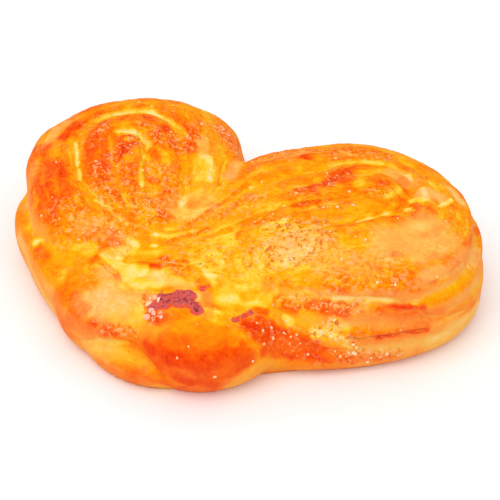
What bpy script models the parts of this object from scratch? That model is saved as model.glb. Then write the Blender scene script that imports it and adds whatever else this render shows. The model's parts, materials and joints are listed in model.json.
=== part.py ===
"""Sugar bun: a roll of sweet dough, split along its length and opened out into a heart.

Each half of the split roll lies with its cut face up, so the rolled-up layers show as
nested U shapes whose arms run together at the pinch in the middle. Under them the dough
is stacked in folds that stand out at the sides, and the unsplit end of the roll is the
smooth heel at the tip of the heart. The whole bun is one closed solid.

The heart's tip points along -Y, the right lobe lies at +X, and the bun rests on Z = 0.
"""

from math import pi

import bmesh
import bpy
import numpy as np
from mathutils import Euler, Matrix, Vector
from mathutils.bvhtree import BVHTree

MM = 0.001

# ---- driving sizes, millimetres ---------------------------------------------------
LEFT_TOP = 31.0            # the left lobe over its focus, above the table
LEFT_TILT = 0.065          # its rise for each millimetre towards its round end
LEFT_FRONT = 22.5          # the left lobe where its layers run together
RIGHT_TOP = 30.5           # the right lobe at its highest
RIGHT_FRONT = 24.0         # the right lobe where its layers run together
RIGHT_DROOP = (20.0, 0.09)     # from this x on it sinks by this much for each millimetre
ARM_TOP = 18.5             # the front of the left lobe, down to the tip
SWELLS = (                 # swells of that lowest fold: middle x, y, size along x and y, height
    (4.0, -10.0, 26.0, 22.0, 3.0), (6.0, -32.0, 24.0, 16.0, 4.3),
)
HEEL_TOP = 24.0            # the smooth unsplit end
HEEL_FALL = (4.0, 42.0, 11.0)  # it sinks from this x, over this length, by this much
PINCH_LEFT = (-8.0, -25.0)     # where the left lobe's layers run together, in plan
PINCH_RIGHT = (-11.0, -23.0)   # the same for the right lobe
FOCUS_LEFT = (-35.0, 17.0)     # middle of the left lobe's round end, in plan
FOCUS_RIGHT = (37.5, 19.5)     # middle of the right lobe's round end, in plan

UNEVEN = ((0.7, 17.0), (0.3, 7.0))     # height and spacing of the dough's unevenness
FLAT_FOOT = 4.0            # height over which that unevenness grows from the flat underside
TRAY_GAP = 0.5             # dough this close to the baking tray lies flat on it

# ---- how finely the dough is drawn ---------------------------------------------------
ROUND = 220                # steps round a piece of dough
OVER = 130                 # steps from its top to its underside
SIDE_SHARE = 0.6           # share of the lower steps that the side takes
BLEND = 24.0               # how sharply one outline ellipse takes over from the next
LATTICE = 24               # size of the lattice that unevenness is drawn on
NOSE = 3.0                 # how far a fold's arms reach past their pinch, millimetres
TINY = 0.02                # keeps divisions away from nothing


def bell(distance):
    """One at no distance, falling smoothly to nothing past about two."""
    return np.exp(-distance ** 2)


def ease(value):
    """Smooth step from 0 to 1."""
    t = np.clip(value, 0.0, 1.0)
    return t * t * (3.0 - 2.0 * t)


def swells(x, y, spots):
    """Total height of a few rounded swells at points in plan."""
    total = 0.0
    for spot_x, spot_y, size_x, size_y, height in spots:
        total = total + height * bell(np.hypot((x - spot_x) / size_x, (y - spot_y) / size_y))
    return total


def lumps(points, cell, seed):
    """Smooth unevenness between -1 and 1: random values on a cubic lattice, eased between."""
    lattice = np.random.default_rng(seed).uniform(-1.0, 1.0, (LATTICE, LATTICE, LATTICE))
    place = points / cell + 0.5 * LATTICE
    corner = np.floor(place).astype(int)
    part = ease(place - corner)
    total = 0.0
    for step in np.ndindex(2, 2, 2):
        weight = np.prod(np.where(step, part, 1.0 - part), axis=-1)
        i, j, k = np.moveaxis((corner + step) % LATTICE, -1, 0)
        total = total + weight * lattice[i, j, k]
    return total


def ellipse_reach(heading, center, half_sizes, turn):
    """Distance from the origin to the far side of an ellipse, along each heading."""
    c, s = np.cos(turn), np.sin(turn)
    to_u = (c * np.cos(heading) + s * np.sin(heading)) / half_sizes[0]
    to_v = (c * np.sin(heading) - s * np.cos(heading)) / half_sizes[1]
    from_u = -(c * center[0] + s * center[1]) / half_sizes[0]
    from_v = -(c * center[1] - s * center[0]) / half_sizes[1]
    square = to_u ** 2 + to_v ** 2
    cross = to_u * from_u + to_v * from_v
    rest = cross ** 2 - square * (from_u ** 2 + from_v ** 2 - 1.0)
    reach = (np.sqrt(np.maximum(rest, 0.0)) - cross) / square
    return np.where(rest > 0.0, np.maximum(reach, 1.0), 1.0)


def outline_reach(heading, middle, ellipses):
    """Distance from the middle to the outline that the ellipses make together."""
    total = 0.0
    for x, y, half_x, half_y, turn in ellipses:
        center = (x - middle[0], y - middle[1])
        total = total + ellipse_reach(heading, center, (half_x, half_y), np.radians(turn)) ** BLEND
    return total ** (1.0 / BLEND)


def narrowing(share, full, power):
    """Half width of a fold's arms: none at the pinch, whole from the share named full on."""
    t = np.clip(share / full, 0.0, 1.0)
    return (1.0 - (1.0 - t) ** 2) ** power


def layer_level(x, y, pinch, focus, reach, left, right):
    """Which layer a point of a lobe lies on, 0 in the core and 1 at the lobe's outline.

    Ahead of the focus the layers are half ellipses; behind it they are two arms that run
    back to the pinch. Also gives the share of the way from the pinch, and the side.
    """
    pinch, focus = np.array(pinch), np.array(focus)
    length = np.linalg.norm(focus - pinch)
    along = (focus - pinch) / length
    x_along = (x - pinch[0]) * along[0] + (y - pinch[1]) * along[1]
    y_across = (y - pinch[1]) * along[0] - (x - pinch[0]) * along[1]
    half = np.where(y_across > 0.0, left, right)
    share = np.clip(x_along / length, 0.0, 1.0)
    arms = np.abs(y_across) / (half * np.maximum(narrowing(share, ARMS_FULL, 1.0), TINY))
    ahead = np.maximum(x_along - length, 0.0) / reach
    level = np.hypot(ahead, arms)
    side = y_across / np.maximum(np.hypot(y_across, x_along - length), TINY)
    return level, share, side


def profile(over, tuck):
    """Level and relative height over a piece of dough, from its top to its underside.

    The level grows to 1 at the widest line, shrinks to the tuck down the side and closes
    across the flat underside. The height is 1 on top, 0 at the widest line, -1 below.
    """
    is_top = over <= 0.5 * pi
    lower = np.clip((over - 0.5 * pi) / (0.5 * pi), 0.0, 1.0)
    down = np.clip(lower / SIDE_SHARE, 0.0, 1.0) * 0.5 * pi
    inward = np.clip((lower - SIDE_SHARE) / (1.0 - SIDE_SHARE), 0.0, 1.0)
    level = np.where(is_top, np.sin(over), (tuck + (1.0 - tuck) * np.cos(down)) * (1.0 - inward))
    height = np.where(is_top, np.abs(np.cos(over)), -np.sin(down))
    return level, height


def pillow(around, over, middle, ellipses, crown, edge, foot=0.0, flat=0.6, tuck=0.85):
    """A rounded pillow of dough: its outline is made of ellipses, its crown is a height
    in millimetres or a function of plan position."""
    level, height = profile(over, tuck)
    reach = outline_reach(around, middle, ellipses) * level
    x = middle[0] + reach * np.cos(around)
    y = middle[1] + reach * np.sin(around)
    top = crown(x, y) if callable(crown) else crown
    lift = np.abs(height) ** flat
    z = np.where(height >= 0.0, edge + (top - edge) * lift, edge + (edge - foot) * height)
    return np.stack([x, y, z], axis=-1)


def fold(around, over, pinch, focus, reach, left, right, full, power, crown, edge,
         foot=0.0, flat=0.6, tuck=0.85):
    """A fold of dough: a round end about the focus, and arms that narrow to the pinch.

    The outline is a half ellipse ahead of the focus and the two arms behind it; each
    ring is that outline drawn in towards the focus by its level.
    """
    level, height = profile(over, tuck)
    pinch, focus = np.array(pinch), np.array(focus)
    length = np.linalg.norm(focus - pinch)
    along = (focus - pinch) / length
    ahead = np.maximum(np.cos(around), 0.0)
    behind = np.maximum(-np.cos(around), 0.0)
    side = np.sin(around)
    is_left = side > 0.0
    half = np.where(is_left, left, right)
    arms = np.sign(side) * narrowing(1.0 - behind, np.where(is_left, *full), np.where(is_left, *power))
    x_along = level * (reach * ahead - (length + NOSE) * behind)
    y_across = level * half * np.where(ahead > 0.0, side, arms)
    x = focus[0] + along[0] * x_along - along[1] * y_across
    y = focus[1] + along[1] * x_along + along[0] * y_across
    top = crown(x, y) if callable(crown) else crown
    lift = np.abs(height) ** flat
    z = np.where(height >= 0.0, edge + (top - edge) * lift, edge + (edge - foot) * height)
    return np.stack([x, y, z], axis=-1)


def furrows(x, y, lobe, grooves):
    """Depth of the furrows between a lobe's layers; they fade out towards the pinch.

    Each furrow follows one level about a focus of its own, since the roll isn't wound
    evenly: that focus lies so far ahead of the lobe's focus, and so far to its left.
    """
    pinch, focus, reach, left, right = lobe
    heading = np.array(focus) - np.array(pinch)
    heading = heading / np.linalg.norm(heading)
    depth = 0.0
    for ahead, aside, at, deep, width in grooves:
        shift_x = ahead * heading[0] - aside * heading[1]
        shift_y = ahead * heading[1] + aside * heading[0]
        moved = (focus[0] + shift_x, focus[1] + shift_y)
        level, share, _ = layer_level(x, y, pinch, moved, reach, left, right)
        depth = depth + deep * bell((level - at) / width) * ease((share - FURROWS_START) / 0.5)
    return depth


LEFT_LAYERS = (PINCH_LEFT, FOCUS_LEFT, 31.0, 34.0, 29.0)
RIGHT_LAYERS = (PINCH_RIGHT, FOCUS_RIGHT, 28.0, 35.0, 33.0)
ARMS_FULL = 0.8            # share of the way from the pinch where the layers' arms are widest
FURROWS_START = 0.15       # share of the way from the pinch where the furrows start
LEFT_FURROWS = (           # focus ahead and to the left, level, depth and width of each furrow
    (-1.3, 2.0, 0.46, 2.2, 0.075), (-3.0, 3.0, 0.15, 1.4, 0.05), (0.0, 0.0, 0.82, 0.8, 0.06),
)
RIGHT_FURROWS = (
    (-1.0, 4.0, 0.36, 2.0, 0.06), (2.6, 5.0, 0.17, 1.0, 0.045), (0.0, 1.0, 0.58, 0.8, 0.05),
    (0.0, 0.0, 0.78, 1.0, 0.06),
)


def left_crown(x, y):
    """Height of the left lobe: a cut face that rises towards its round end."""
    _, share, _ = layer_level(x, y, *LEFT_LAYERS)
    full = LEFT_TOP + LEFT_TILT * (y - FOCUS_LEFT[1])
    z = LEFT_FRONT + (full - LEFT_FRONT) * ease(0.15 + share * 1.3)
    return z - furrows(x, y, LEFT_LAYERS, LEFT_FURROWS)


def front_crown(x, y):
    """Height of the lowest fold: the arm to the tip, the middle and the heel."""
    return ARM_TOP + swells(x, y, SWELLS)


def right_crown(x, y):
    """Height of the right lobe's cap, with its furrows between the layers."""
    _, share, _ = layer_level(x, y, *RIGHT_LAYERS)
    z = RIGHT_FRONT + (RIGHT_TOP - RIGHT_FRONT) * ease(share * 1.4)
    z = z - RIGHT_DROOP[1] * np.maximum(x - RIGHT_DROOP[0], 0.0)
    return z - furrows(x, y, RIGHT_LAYERS, RIGHT_FURROWS)


def heel_crown(x, y):
    """Height of the heel: highest at the tip, falling away under the right lobe."""
    start, length, fall = HEEL_FALL
    return HEEL_TOP - fall * ease((x - start) / length)


PIECES = {
    "left_lobe": (fold, dict(
        pinch=(-8.0, -26.0), focus=(-36.2, 16.3), reach=27.4, left=31.2, right=31.6,
        full=(0.7, 0.8), power=(1.0, 0.9), crown=left_crown, edge=15.0, foot=0.0, flat=0.5)),
    "front": (pillow, dict(
        middle=(-14.0, -16.0),
        ellipses=((-42.5, -1.0, 20.4, 22.0, 0.0), (-29.0, -12.3, 37.0, 22.5, -41.0),
                  (-15.4, -29.4, 18.0, 17.0, 0.0), (8.5, -27.6, 20.2, 21.6, 0.0),
                  (4.0, -12.0, 26.0, 20.0, 30.0)),
        crown=front_crown, edge=9.0, flat=0.5)),
    "tip_under": (pillow, dict(
        middle=(-3.0, -30.0), ellipses=((-4.0, -29.0, 24.0, 21.0, 0.0),), crown=9.0, edge=5.0)),
    "heel_tail": (fold, dict(
        pinch=(52.0, -13.0), focus=(10.0, -27.0), reach=19.0, left=11.6, right=12.0,
        full=(1.0, 1.0), power=(1.5, 0.8), crown=heel_crown, edge=8.0, foot=0.0)),
    "right_cap": (fold, dict(
        pinch=(-13.0, -21.0), focus=(35.2, 16.5), reach=28.0, left=32.7, right=34.2,
        full=(0.8, 1.0), power=(1.1, 1.0), crown=right_crown, edge=20.0, foot=12.0, flat=0.5)),
    "right_second": (fold, dict(
        pinch=(-6.0, -26.0), focus=(36.2, 16.0), reach=29.6, left=31.0, right=35.5,
        full=(1.0, 1.0), power=(1.0, 1.0), crown=21.0, edge=16.0, foot=8.0)),
    "right_third": (fold, dict(
        pinch=(0.0, -30.0), focus=(36.5, 13.5), reach=30.5, left=32.5, right=35.5,
        full=(1.0, 1.0), power=(1.0, 1.0), crown=16.0, edge=11.0, foot=5.0)),
    "right_base": (fold, dict(
        pinch=(0.0, -36.0), focus=(36.0, 14.0), reach=30.0, left=31.0, right=35.0,
        full=(1.0, 1.0), power=(1.0, 1.0), crown=10.0, edge=5.5, foot=0.0)),
}

MELT = (                   # where one fold bakes into the next: middle x, y and size
    (-2.0, -27.0, 18.0, 8.0), (24.0, -24.0, 14.0, 8.0), (-38.0, -24.0, 14.0, 8.0),
    (-12.0, -21.0, 8.0, 6.0), (22.0, -38.0, 11.0, 10.0), (-8.0, -37.0, 12.0, 8.0),
)
MELT_ALL = 0.14            # how much of that the whole dough gets
MELT_ROUNDS = 36
CRAGS = (                  # torn and crumbly dough: middle x, y, size along x and y, height
    (12.0, -19.0, 20.0, 6.5, 0.9), (-10.0, -29.0, 13.0, 5.5, 1.0), (8.0, -3.0, 14.0, 8.0, 0.4),
)
CRAG_SPACING = 3.2
DOUGH_TRIANGLES = 8600     # triangles kept on the dough

SUGAR_GRAINS = 120          # the largest grains, about as many as stand out at a step away
GRAIN = (0.8, 1.1)         # edge of a crystal, smallest and largest, millimetres
GRAIN_GAP = 4.0            # least distance between two grains, millimetres


def remove_objects():
    """Empty the scene."""
    for obj in list(bpy.data.objects):
        bpy.data.objects.remove(obj, do_unlink=True)


def crust_material():
    """Baked sweet dough under a thin shine of egg wash."""
    material = bpy.data.materials.new("baked_dough")
    material.use_nodes = True
    shader = material.node_tree.nodes["Principled BSDF"]
    shader.inputs["Base Color"].default_value = (0.85, 0.36, 0.07, 1.0)
    shader.inputs["Roughness"].default_value = 0.45
    shader.inputs["Metallic"].default_value = 0.0
    return material


def dough_object(name, shape_function, sizes, collection):
    """A sphere whose points are laid over one piece of dough."""
    mesh = bpy.data.meshes.new(name)
    shape = bmesh.new()
    bmesh.ops.create_uvsphere(shape, u_segments=ROUND, v_segments=OVER, radius=1.0)
    ball = np.array([vertex.co for vertex in shape.verts])
    around = np.arctan2(ball[:, 1], ball[:, 0])
    over = np.arccos(np.clip(ball[:, 2], -1.0, 1.0))
    points = shape_function(around, over, **sizes)
    outward = points - points.mean(axis=0)
    outward = outward / np.linalg.norm(outward, axis=1, keepdims=True)
    for size, cell in UNEVEN:
        swell = size * lumps(points, cell, 3) * ease(points[:, 2] / FLAT_FOOT)
        points = points + outward * swell[:, None]
    for vertex, point in zip(shape.verts, points * MM):
        vertex.co = point
    bmesh.ops.triangulate(shape, faces=shape.faces)
    bmesh.ops.recalc_face_normals(shape, faces=shape.faces)
    shape.to_mesh(mesh)
    shape.free()
    obj = bpy.data.objects.new(name, mesh)
    collection.objects.link(obj)
    return obj


def apply_modifiers(obj):
    """Replace an object's mesh by the mesh that its modifiers make."""
    graph = bpy.context.evaluated_depsgraph_get()
    made = bpy.data.meshes.new_from_object(obj.evaluated_get(graph))
    obj.modifiers.clear()
    obj.data = made


def unite(obj, collection):
    """Join an object with everything in a collection, and remove the collection's objects."""
    union = obj.modifiers.new("union", "BOOLEAN")
    union.operation = "UNION"
    union.operand_type = "COLLECTION"
    union.collection = collection
    union.solver = "MANIFOLD"
    apply_modifiers(obj)
    for other in list(collection.objects):
        bpy.data.objects.remove(other, do_unlink=True)
    bpy.data.collections.remove(collection)


def new_collection(name):
    """A collection in the scene."""
    collection = bpy.data.collections.new(name)
    bpy.context.scene.collection.children.link(collection)
    return collection


def melt_seams(obj):
    """Smooth the dough where its folds have baked into each other."""
    points = np.array([vertex.co for vertex in obj.data.vertices]) / MM
    weight = np.zeros(len(points))
    for x, y, size_x, size_y in MELT:
        off = np.hypot((points[:, 0] - x) / size_x, (points[:, 1] - y) / size_y)
        weight = np.maximum(weight, bell(off))
    weight = np.maximum(weight, MELT_ALL) * ease((points[:, 2] - 1.0) / FLAT_FOOT)
    group = obj.vertex_groups.new(name="melt")
    for index, value in enumerate(weight):
        group.add([index], float(value), "REPLACE")
    smooth = obj.modifiers.new("melt", "SMOOTH")
    smooth.vertex_group = "melt"
    smooth.factor = 0.6
    smooth.iterations = MELT_ROUNDS
    apply_modifiers(obj)


def crumble(obj):
    """Raise and sink the dough in small crags where it tore."""
    points = np.array([vertex.co for vertex in obj.data.vertices]) / MM
    is_upper = ease((points[:, 2] - 12.0) / 4.0)
    height = swells(points[:, 0], points[:, 1], CRAGS) * is_upper
    points[:, 2] += height * lumps(points, CRAG_SPACING, 5)
    obj.data.vertices.foreach_set("co", (points * MM).ravel())


def thin_out(obj):
    """Keep the triangles that the dough's form needs, fewest where it is flat."""
    thin = obj.modifiers.new("thin", "DECIMATE")
    thin.ratio = DOUGH_TRIANGLES / sum(len(face.vertices) - 2 for face in obj.data.polygons)
    thin.use_collapse_triangulate = True
    apply_modifiers(obj)


def scatter_sugar(dough, collection):
    """Coarse sugar on the upper faces, spread evenly and half sunk into the glaze."""
    shape = bmesh.new()
    shape.from_mesh(dough.data)
    surface = BVHTree.FromBMesh(shape)
    shape.free()
    draw = np.random.default_rng(7)
    placed = []
    mesh = bpy.data.meshes.new("grains")
    grains = bmesh.new()
    while len(placed) < SUGAR_GRAINS:
        x, y = draw.uniform(-66.0, 66.0), draw.uniform(-48.0, 48.0)
        size = GRAIN[1] - (GRAIN[1] - GRAIN[0]) * len(placed) / SUGAR_GRAINS
        turn = draw.uniform(0.0, pi, 3)
        stretch = draw.uniform(0.8, 1.2, 3)
        if any((x - other[0]) ** 2 + (y - other[1]) ** 2 < GRAIN_GAP ** 2 for other in placed):
            continue
        point, normal, _, _ = surface.ray_cast(Vector((x, y, 60.0)) * MM, Vector((0.0, 0.0, -1.0)))
        if point is None or normal.z < 0.75 or point.z < 15.0 * MM:
            continue
        placed.append((x, y))
        place = Matrix.LocRotScale(point, Euler(turn), Vector(stretch))
        bmesh.ops.create_cube(grains, size=size * MM, matrix=place)
    grains.to_mesh(mesh)
    grains.free()
    collection.objects.link(bpy.data.objects.new("grains", mesh))


def stand_on_origin(obj):
    """Bring the middle of the bounding box over the origin and press the underside flat
    at Z = 0."""
    points = np.array([vertex.co for vertex in obj.data.vertices])
    low, high = points.min(axis=0), points.max(axis=0)
    points[:, 2] = np.where(points[:, 2] < low[2] + TRAY_GAP * MM, low[2], points[:, 2])
    obj.data.vertices.foreach_set("co", points.ravel())
    middle = 0.5 * (low + high)
    obj.data.transform(Matrix.Translation((-middle[0], -middle[1], -low[2])))


remove_objects()
bun_collection = new_collection("sugar_bun")
fold_collection = new_collection("folds")
names = list(PIECES)
bun = dough_object("bun", *PIECES[names[0]], bun_collection)
for piece_name in names[1:]:
    dough_object(piece_name, *PIECES[piece_name], fold_collection)
unite(bun, fold_collection)
melt_seams(bun)
crumble(bun)
thin_out(bun)
grain_collection = new_collection("grains")
scatter_sugar(bun, grain_collection)
unite(bun, grain_collection)
bun.data.materials.clear()
bun.data.materials.append(crust_material())
stand_on_origin(bun)
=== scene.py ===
"""A heart-shaped sugar bun on a pale table: baked dough, coarse sugar, soft studio light."""

import json
from math import cos, pi, radians, sin

import bpy
import numpy as np
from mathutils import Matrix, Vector

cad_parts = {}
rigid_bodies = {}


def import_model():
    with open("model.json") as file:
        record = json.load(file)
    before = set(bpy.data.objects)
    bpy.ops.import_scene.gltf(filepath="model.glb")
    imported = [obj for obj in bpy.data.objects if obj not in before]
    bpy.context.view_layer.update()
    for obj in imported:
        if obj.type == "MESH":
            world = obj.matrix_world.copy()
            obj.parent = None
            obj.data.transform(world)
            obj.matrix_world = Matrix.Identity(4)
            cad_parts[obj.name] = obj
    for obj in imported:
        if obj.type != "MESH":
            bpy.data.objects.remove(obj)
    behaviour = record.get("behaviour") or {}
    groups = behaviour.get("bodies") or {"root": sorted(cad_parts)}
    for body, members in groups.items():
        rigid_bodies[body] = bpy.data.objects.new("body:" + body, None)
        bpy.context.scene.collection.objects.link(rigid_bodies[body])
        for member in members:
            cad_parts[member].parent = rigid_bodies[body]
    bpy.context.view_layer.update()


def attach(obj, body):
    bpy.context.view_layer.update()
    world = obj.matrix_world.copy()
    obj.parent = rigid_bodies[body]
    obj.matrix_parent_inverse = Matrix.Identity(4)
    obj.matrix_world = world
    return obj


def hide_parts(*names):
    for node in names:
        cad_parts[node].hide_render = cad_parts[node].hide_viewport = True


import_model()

# ---- The bun ---------------------------------------------------------------------------
# A roll of sweet yeast dough, split along its length and opened out, cut face up, so that
# the rolled-up layers show as nested loops on two lobes. The folds rose into each other in
# the oven. All sizes are millimetres in the heart's own frame: -Y is the tip.
MM = 0.001
MIDDLE = np.array([1.66, -1.68, 0.0])      # middle of the heart, which stands over the origin

LEFT_TOP = 31.0            # the left lobe over its focus, above the table
LEFT_TILT = 0.065          # its rise for each millimetre towards its round end
LEFT_FRONT = 22.5          # the left lobe where its layers run together
LEFT_RISE = (0.15, 1.3)    # how far up it is there, and how soon it reaches its top
RIGHT_TOP = 30.5           # the right lobe at its highest
RIGHT_FRONT = 24.0         # the right lobe where its layers run together
RIGHT_RISE = 1.4           # how soon it reaches its top from there
RIGHT_DROOP = (20.0, 0.09)     # from this x on it sinks by this much for each millimetre
ARM_TOP = 18.5             # the front of the left lobe, down to the tip
SWELLS = (                 # swells of that lowest fold: middle x, y, size along x and y, height
    (4.0, -10.0, 26.0, 22.0, 3.0), (6.0, -32.0, 24.0, 16.0, 4.3),
)
HEEL_TOP = 24.0            # the smooth unsplit end
HEEL_FALL = (4.0, 42.0, 11.0)  # it sinks from this x, over this length, by this much

ROUND = 320                # steps round a piece of dough
OVER = 180                 # steps from its top to its underside
SIDE_SHARE = 0.6           # share of the lower steps that the side takes
TUCK = 0.85                # how wide a piece is at its foot, as a share of its widest line
BLEND = 24.0               # how sharply one outline ellipse takes over from the next
LATTICE = 24               # size of the lattice that unevenness is drawn on
NOSE = 3.0                 # how far a fold's arms reach past their pinch
ARMS_WHOLE = 0.8           # share of the way from the pinch where a lobe's arms are whole
FURROW_START = (0.15, 0.5)     # share of that way where furrows begin, and over which they deepen
TINY = 0.02                # keeps divisions away from nothing


def bell(distance):
    """One at no distance, falling smoothly to nothing past about two: exp(-distance²)."""
    return np.exp(-distance ** 2)


def ease(value):
    """Smooth step from 0 to 1: 3t² - 2t³ of the clipped value."""
    t = np.clip(value, 0.0, 1.0)
    return t * t * (3.0 - 2.0 * t)


def spot(x, y, middle_x, middle_y, size_x, size_y):
    """A rounded spot: a bell of the plan distance from its middle, in its own sizes."""
    return bell(np.hypot((x - middle_x) / size_x, (y - middle_y) / size_y))


def swells(x, y, spots):
    """Total height of a few rounded swells: the sum of each height times its spot."""
    return sum(height * spot(x, y, *place) for *place, height in spots)


def lumps(points, spacing, seed):
    """Smooth unevenness from -1 to 1: random values on a cubic lattice, eased between."""
    lattice = np.random.default_rng(seed).uniform(-1.0, 1.0, (LATTICE, LATTICE, LATTICE))
    place = points / spacing + 0.5 * LATTICE
    corner = np.floor(place).astype(int)
    part = ease(place - corner)
    total = 0.0
    for step in np.ndindex(2, 2, 2):
        weight = np.prod(np.where(step, part, 1.0 - part), axis=-1)
        i, j, k = np.moveaxis((corner + step) % LATTICE, -1, 0)
        total = total + weight * lattice[i, j, k]
    return total


def mixed_lumps(points, sizes):
    """Unevenness of several sizes: the sum of each height times its lumps."""
    return sum(height * lumps(points, spacing, seed) for height, spacing, seed in sizes)


def ellipse_reach(heading, center, half_sizes, turn):
    """Distance from the origin to the far side of an ellipse, along each heading: the root
    of the square that puts a point of that heading on the ellipse."""
    c, s = np.cos(turn), np.sin(turn)
    to_u = (c * np.cos(heading) + s * np.sin(heading)) / half_sizes[0]
    to_v = (c * np.sin(heading) - s * np.cos(heading)) / half_sizes[1]
    from_u = -(c * center[0] + s * center[1]) / half_sizes[0]
    from_v = -(c * center[1] - s * center[0]) / half_sizes[1]
    square = to_u ** 2 + to_v ** 2
    cross = to_u * from_u + to_v * from_v
    rest = cross ** 2 - square * (from_u ** 2 + from_v ** 2 - 1.0)
    reach = (np.sqrt(np.maximum(rest, 0.0)) - cross) / square
    return np.where(rest > 0.0, np.maximum(reach, 1.0), 1.0)


def narrowing(share, full, power):
    """Half width of a fold's arms, as a share: (1 - (1 - t)²)^power, where t grows from none
    at the pinch to one at the share named full."""
    t = np.clip(share / full, 0.0, 1.0)
    return (1.0 - (1.0 - t) ** 2) ** power


def layer_level(x, y, pinch, focus, reach, left, right):
    """Which layer a point lies on: 0 in the core, 1 at the lobe's outline.

    Ahead of the focus the layers are half ellipses, behind it two arms that run back to
    the pinch. Also the share of the way from the pinch, and the side, 1 left to -1 right.
    """
    pinch, focus = np.array(pinch), np.array(focus)
    length = np.linalg.norm(focus - pinch)
    along = (focus - pinch) / length
    x_along = (x - pinch[0]) * along[0] + (y - pinch[1]) * along[1]
    y_across = (y - pinch[1]) * along[0] - (x - pinch[0]) * along[1]
    half = np.where(y_across > 0.0, left, right)
    share = np.clip(x_along / length, 0.0, 1.0)
    arms = np.abs(y_across) / (half * np.maximum(narrowing(share, ARMS_WHOLE, 1.0), TINY))
    ahead = np.maximum(x_along - length, 0.0) / reach
    level = np.hypot(ahead, arms)
    side = y_across / np.maximum(np.hypot(y_across, x_along - length), TINY)
    return level, share, side


def profile(over):
    """Level and relative height over a piece of dough, from its top to its underside.

    The level grows as a sine to 1 at the widest line, shrinks to the tuck down the side
    and closes across the flat underside. The height is 1 on top and -1 underneath.
    """
    is_top = over <= 0.5 * pi
    lower = np.clip((over - 0.5 * pi) / (0.5 * pi), 0.0, 1.0)
    down = np.clip(lower / SIDE_SHARE, 0.0, 1.0) * 0.5 * pi
    inward = np.clip((lower - SIDE_SHARE) / (1.0 - SIDE_SHARE), 0.0, 1.0)
    level = np.where(is_top, np.sin(over), (TUCK + (1.0 - TUCK) * np.cos(down)) * (1.0 - inward))
    height = np.where(is_top, np.abs(np.cos(over)), -np.sin(down))
    return level, height


def raised(x, y, height, crown, edge, foot, flat):
    """A piece's points: up from the edge to the crown by height^flat, down to the foot."""
    top = crown(x, y) if callable(crown) else crown
    lift = np.abs(height) ** flat
    z = np.where(height >= 0.0, edge + (top - edge) * lift, edge + (edge - foot) * height)
    return np.stack([x, y, z], axis=-1)


def pillow(around, over, middle, ellipses, crown, edge, foot=0.0, flat=0.6):
    """A rounded pillow: rings about the middle, as far out as the ellipses reach, blended
    as the root of the sum of their powers."""
    level, height = profile(over)
    total = 0.0
    for x, y, half_x, half_y, turn in ellipses:
        center = (x - middle[0], y - middle[1])
        total = total + ellipse_reach(around, center, (half_x, half_y), radians(turn)) ** BLEND
    reach = total ** (1.0 / BLEND) * level
    x = middle[0] + reach * np.cos(around)
    y = middle[1] + reach * np.sin(around)
    return raised(x, y, height, crown, edge, foot, flat)


def fold(around, over, pinch, focus, reach, left, right, crown, edge,
         full=(1.0, 1.0), power=(1.0, 1.0), foot=0.0, flat=0.6):
    """A fold: a half ellipse ahead of the focus, and arms that narrow to the pinch.

    Each ring is that outline drawn in towards the focus by its level. Full and power shape
    the narrowing of the left and the right arm.
    """
    level, height = profile(over)
    pinch, focus = np.array(pinch), np.array(focus)
    length = np.linalg.norm(focus - pinch)
    along = (focus - pinch) / length
    ahead = np.maximum(np.cos(around), 0.0)
    behind = np.maximum(-np.cos(around), 0.0)
    side = np.sin(around)
    is_left = side > 0.0
    half = np.where(is_left, left, right)
    narrow = narrowing(1.0 - behind, np.where(is_left, *full), np.where(is_left, *power))
    x_along = level * (reach * ahead - (length + NOSE) * behind)
    y_across = level * half * np.where(ahead > 0.0, side, np.sign(side) * narrow)
    x = focus[0] + along[0] * x_along - along[1] * y_across
    y = focus[1] + along[1] * x_along + along[0] * y_across
    return raised(x, y, height, crown, edge, foot, flat)


# pinch, focus, reach ahead of the focus, half width to the left and to the right
LEFT_LAYERS = ((-8.0, -25.0), (-35.0, 17.0), 31.0, 34.0, 29.0)
RIGHT_LAYERS = ((-11.0, -23.0), (37.5, 19.5), 28.0, 35.0, 33.0)
# focus ahead and to the left, then the level, depth and width of each furrow
LEFT_FURROWS = ((-1.3, 2.0, 0.46, 2.2, 0.075), (-3.0, 3.0, 0.15, 1.4, 0.05), (0.0, 0.0, 0.82, 0.8, 0.06))
RIGHT_FURROWS = ((-1.0, 4.0, 0.36, 2.0, 0.06), (2.6, 5.0, 0.17, 1.0, 0.045),
                 (0.0, 1.0, 0.58, 0.8, 0.05), (0.0, 0.0, 0.78, 1.0, 0.06))


def furrows(x, y, lobe, grooves):
    """Depth of the furrows between a lobe's layers: the sum of each depth times a bell of the
    level from the furrow's.

    Each furrow follows one level about a focus of its own, since the roll isn't wound
    evenly: that focus lies so far ahead of the lobe's focus, and so far to its left.
    """
    pinch, focus, reach, left, right = lobe
    heading = np.array(focus) - np.array(pinch)
    heading = heading / np.linalg.norm(heading)
    start, length = FURROW_START
    total = 0.0
    for ahead, aside, at, depth, width in grooves:
        moved = np.array(focus) + ahead * heading + aside * np.array([-heading[1], heading[0]])
        level, share, _ = layer_level(x, y, pinch, moved, reach, left, right)
        total = total + depth * (bell((level - at) / width) * ease((share - start) / length))
    return total


def left_crown(x, y):
    """Height of the left lobe: a cut face that rises towards its round end, less its furrows."""
    _, share, _ = layer_level(x, y, *LEFT_LAYERS)
    full = LEFT_TOP + LEFT_TILT * (y - LEFT_LAYERS[1][1])
    z = LEFT_FRONT + (full - LEFT_FRONT) * ease(LEFT_RISE[0] + share * LEFT_RISE[1])
    return z - furrows(x, y, LEFT_LAYERS, LEFT_FURROWS)


def front_crown(x, y):
    """Height of the lowest fold, the arm to the tip, the middle and the heel: level, with swells."""
    return ARM_TOP + swells(x, y, SWELLS)


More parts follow.
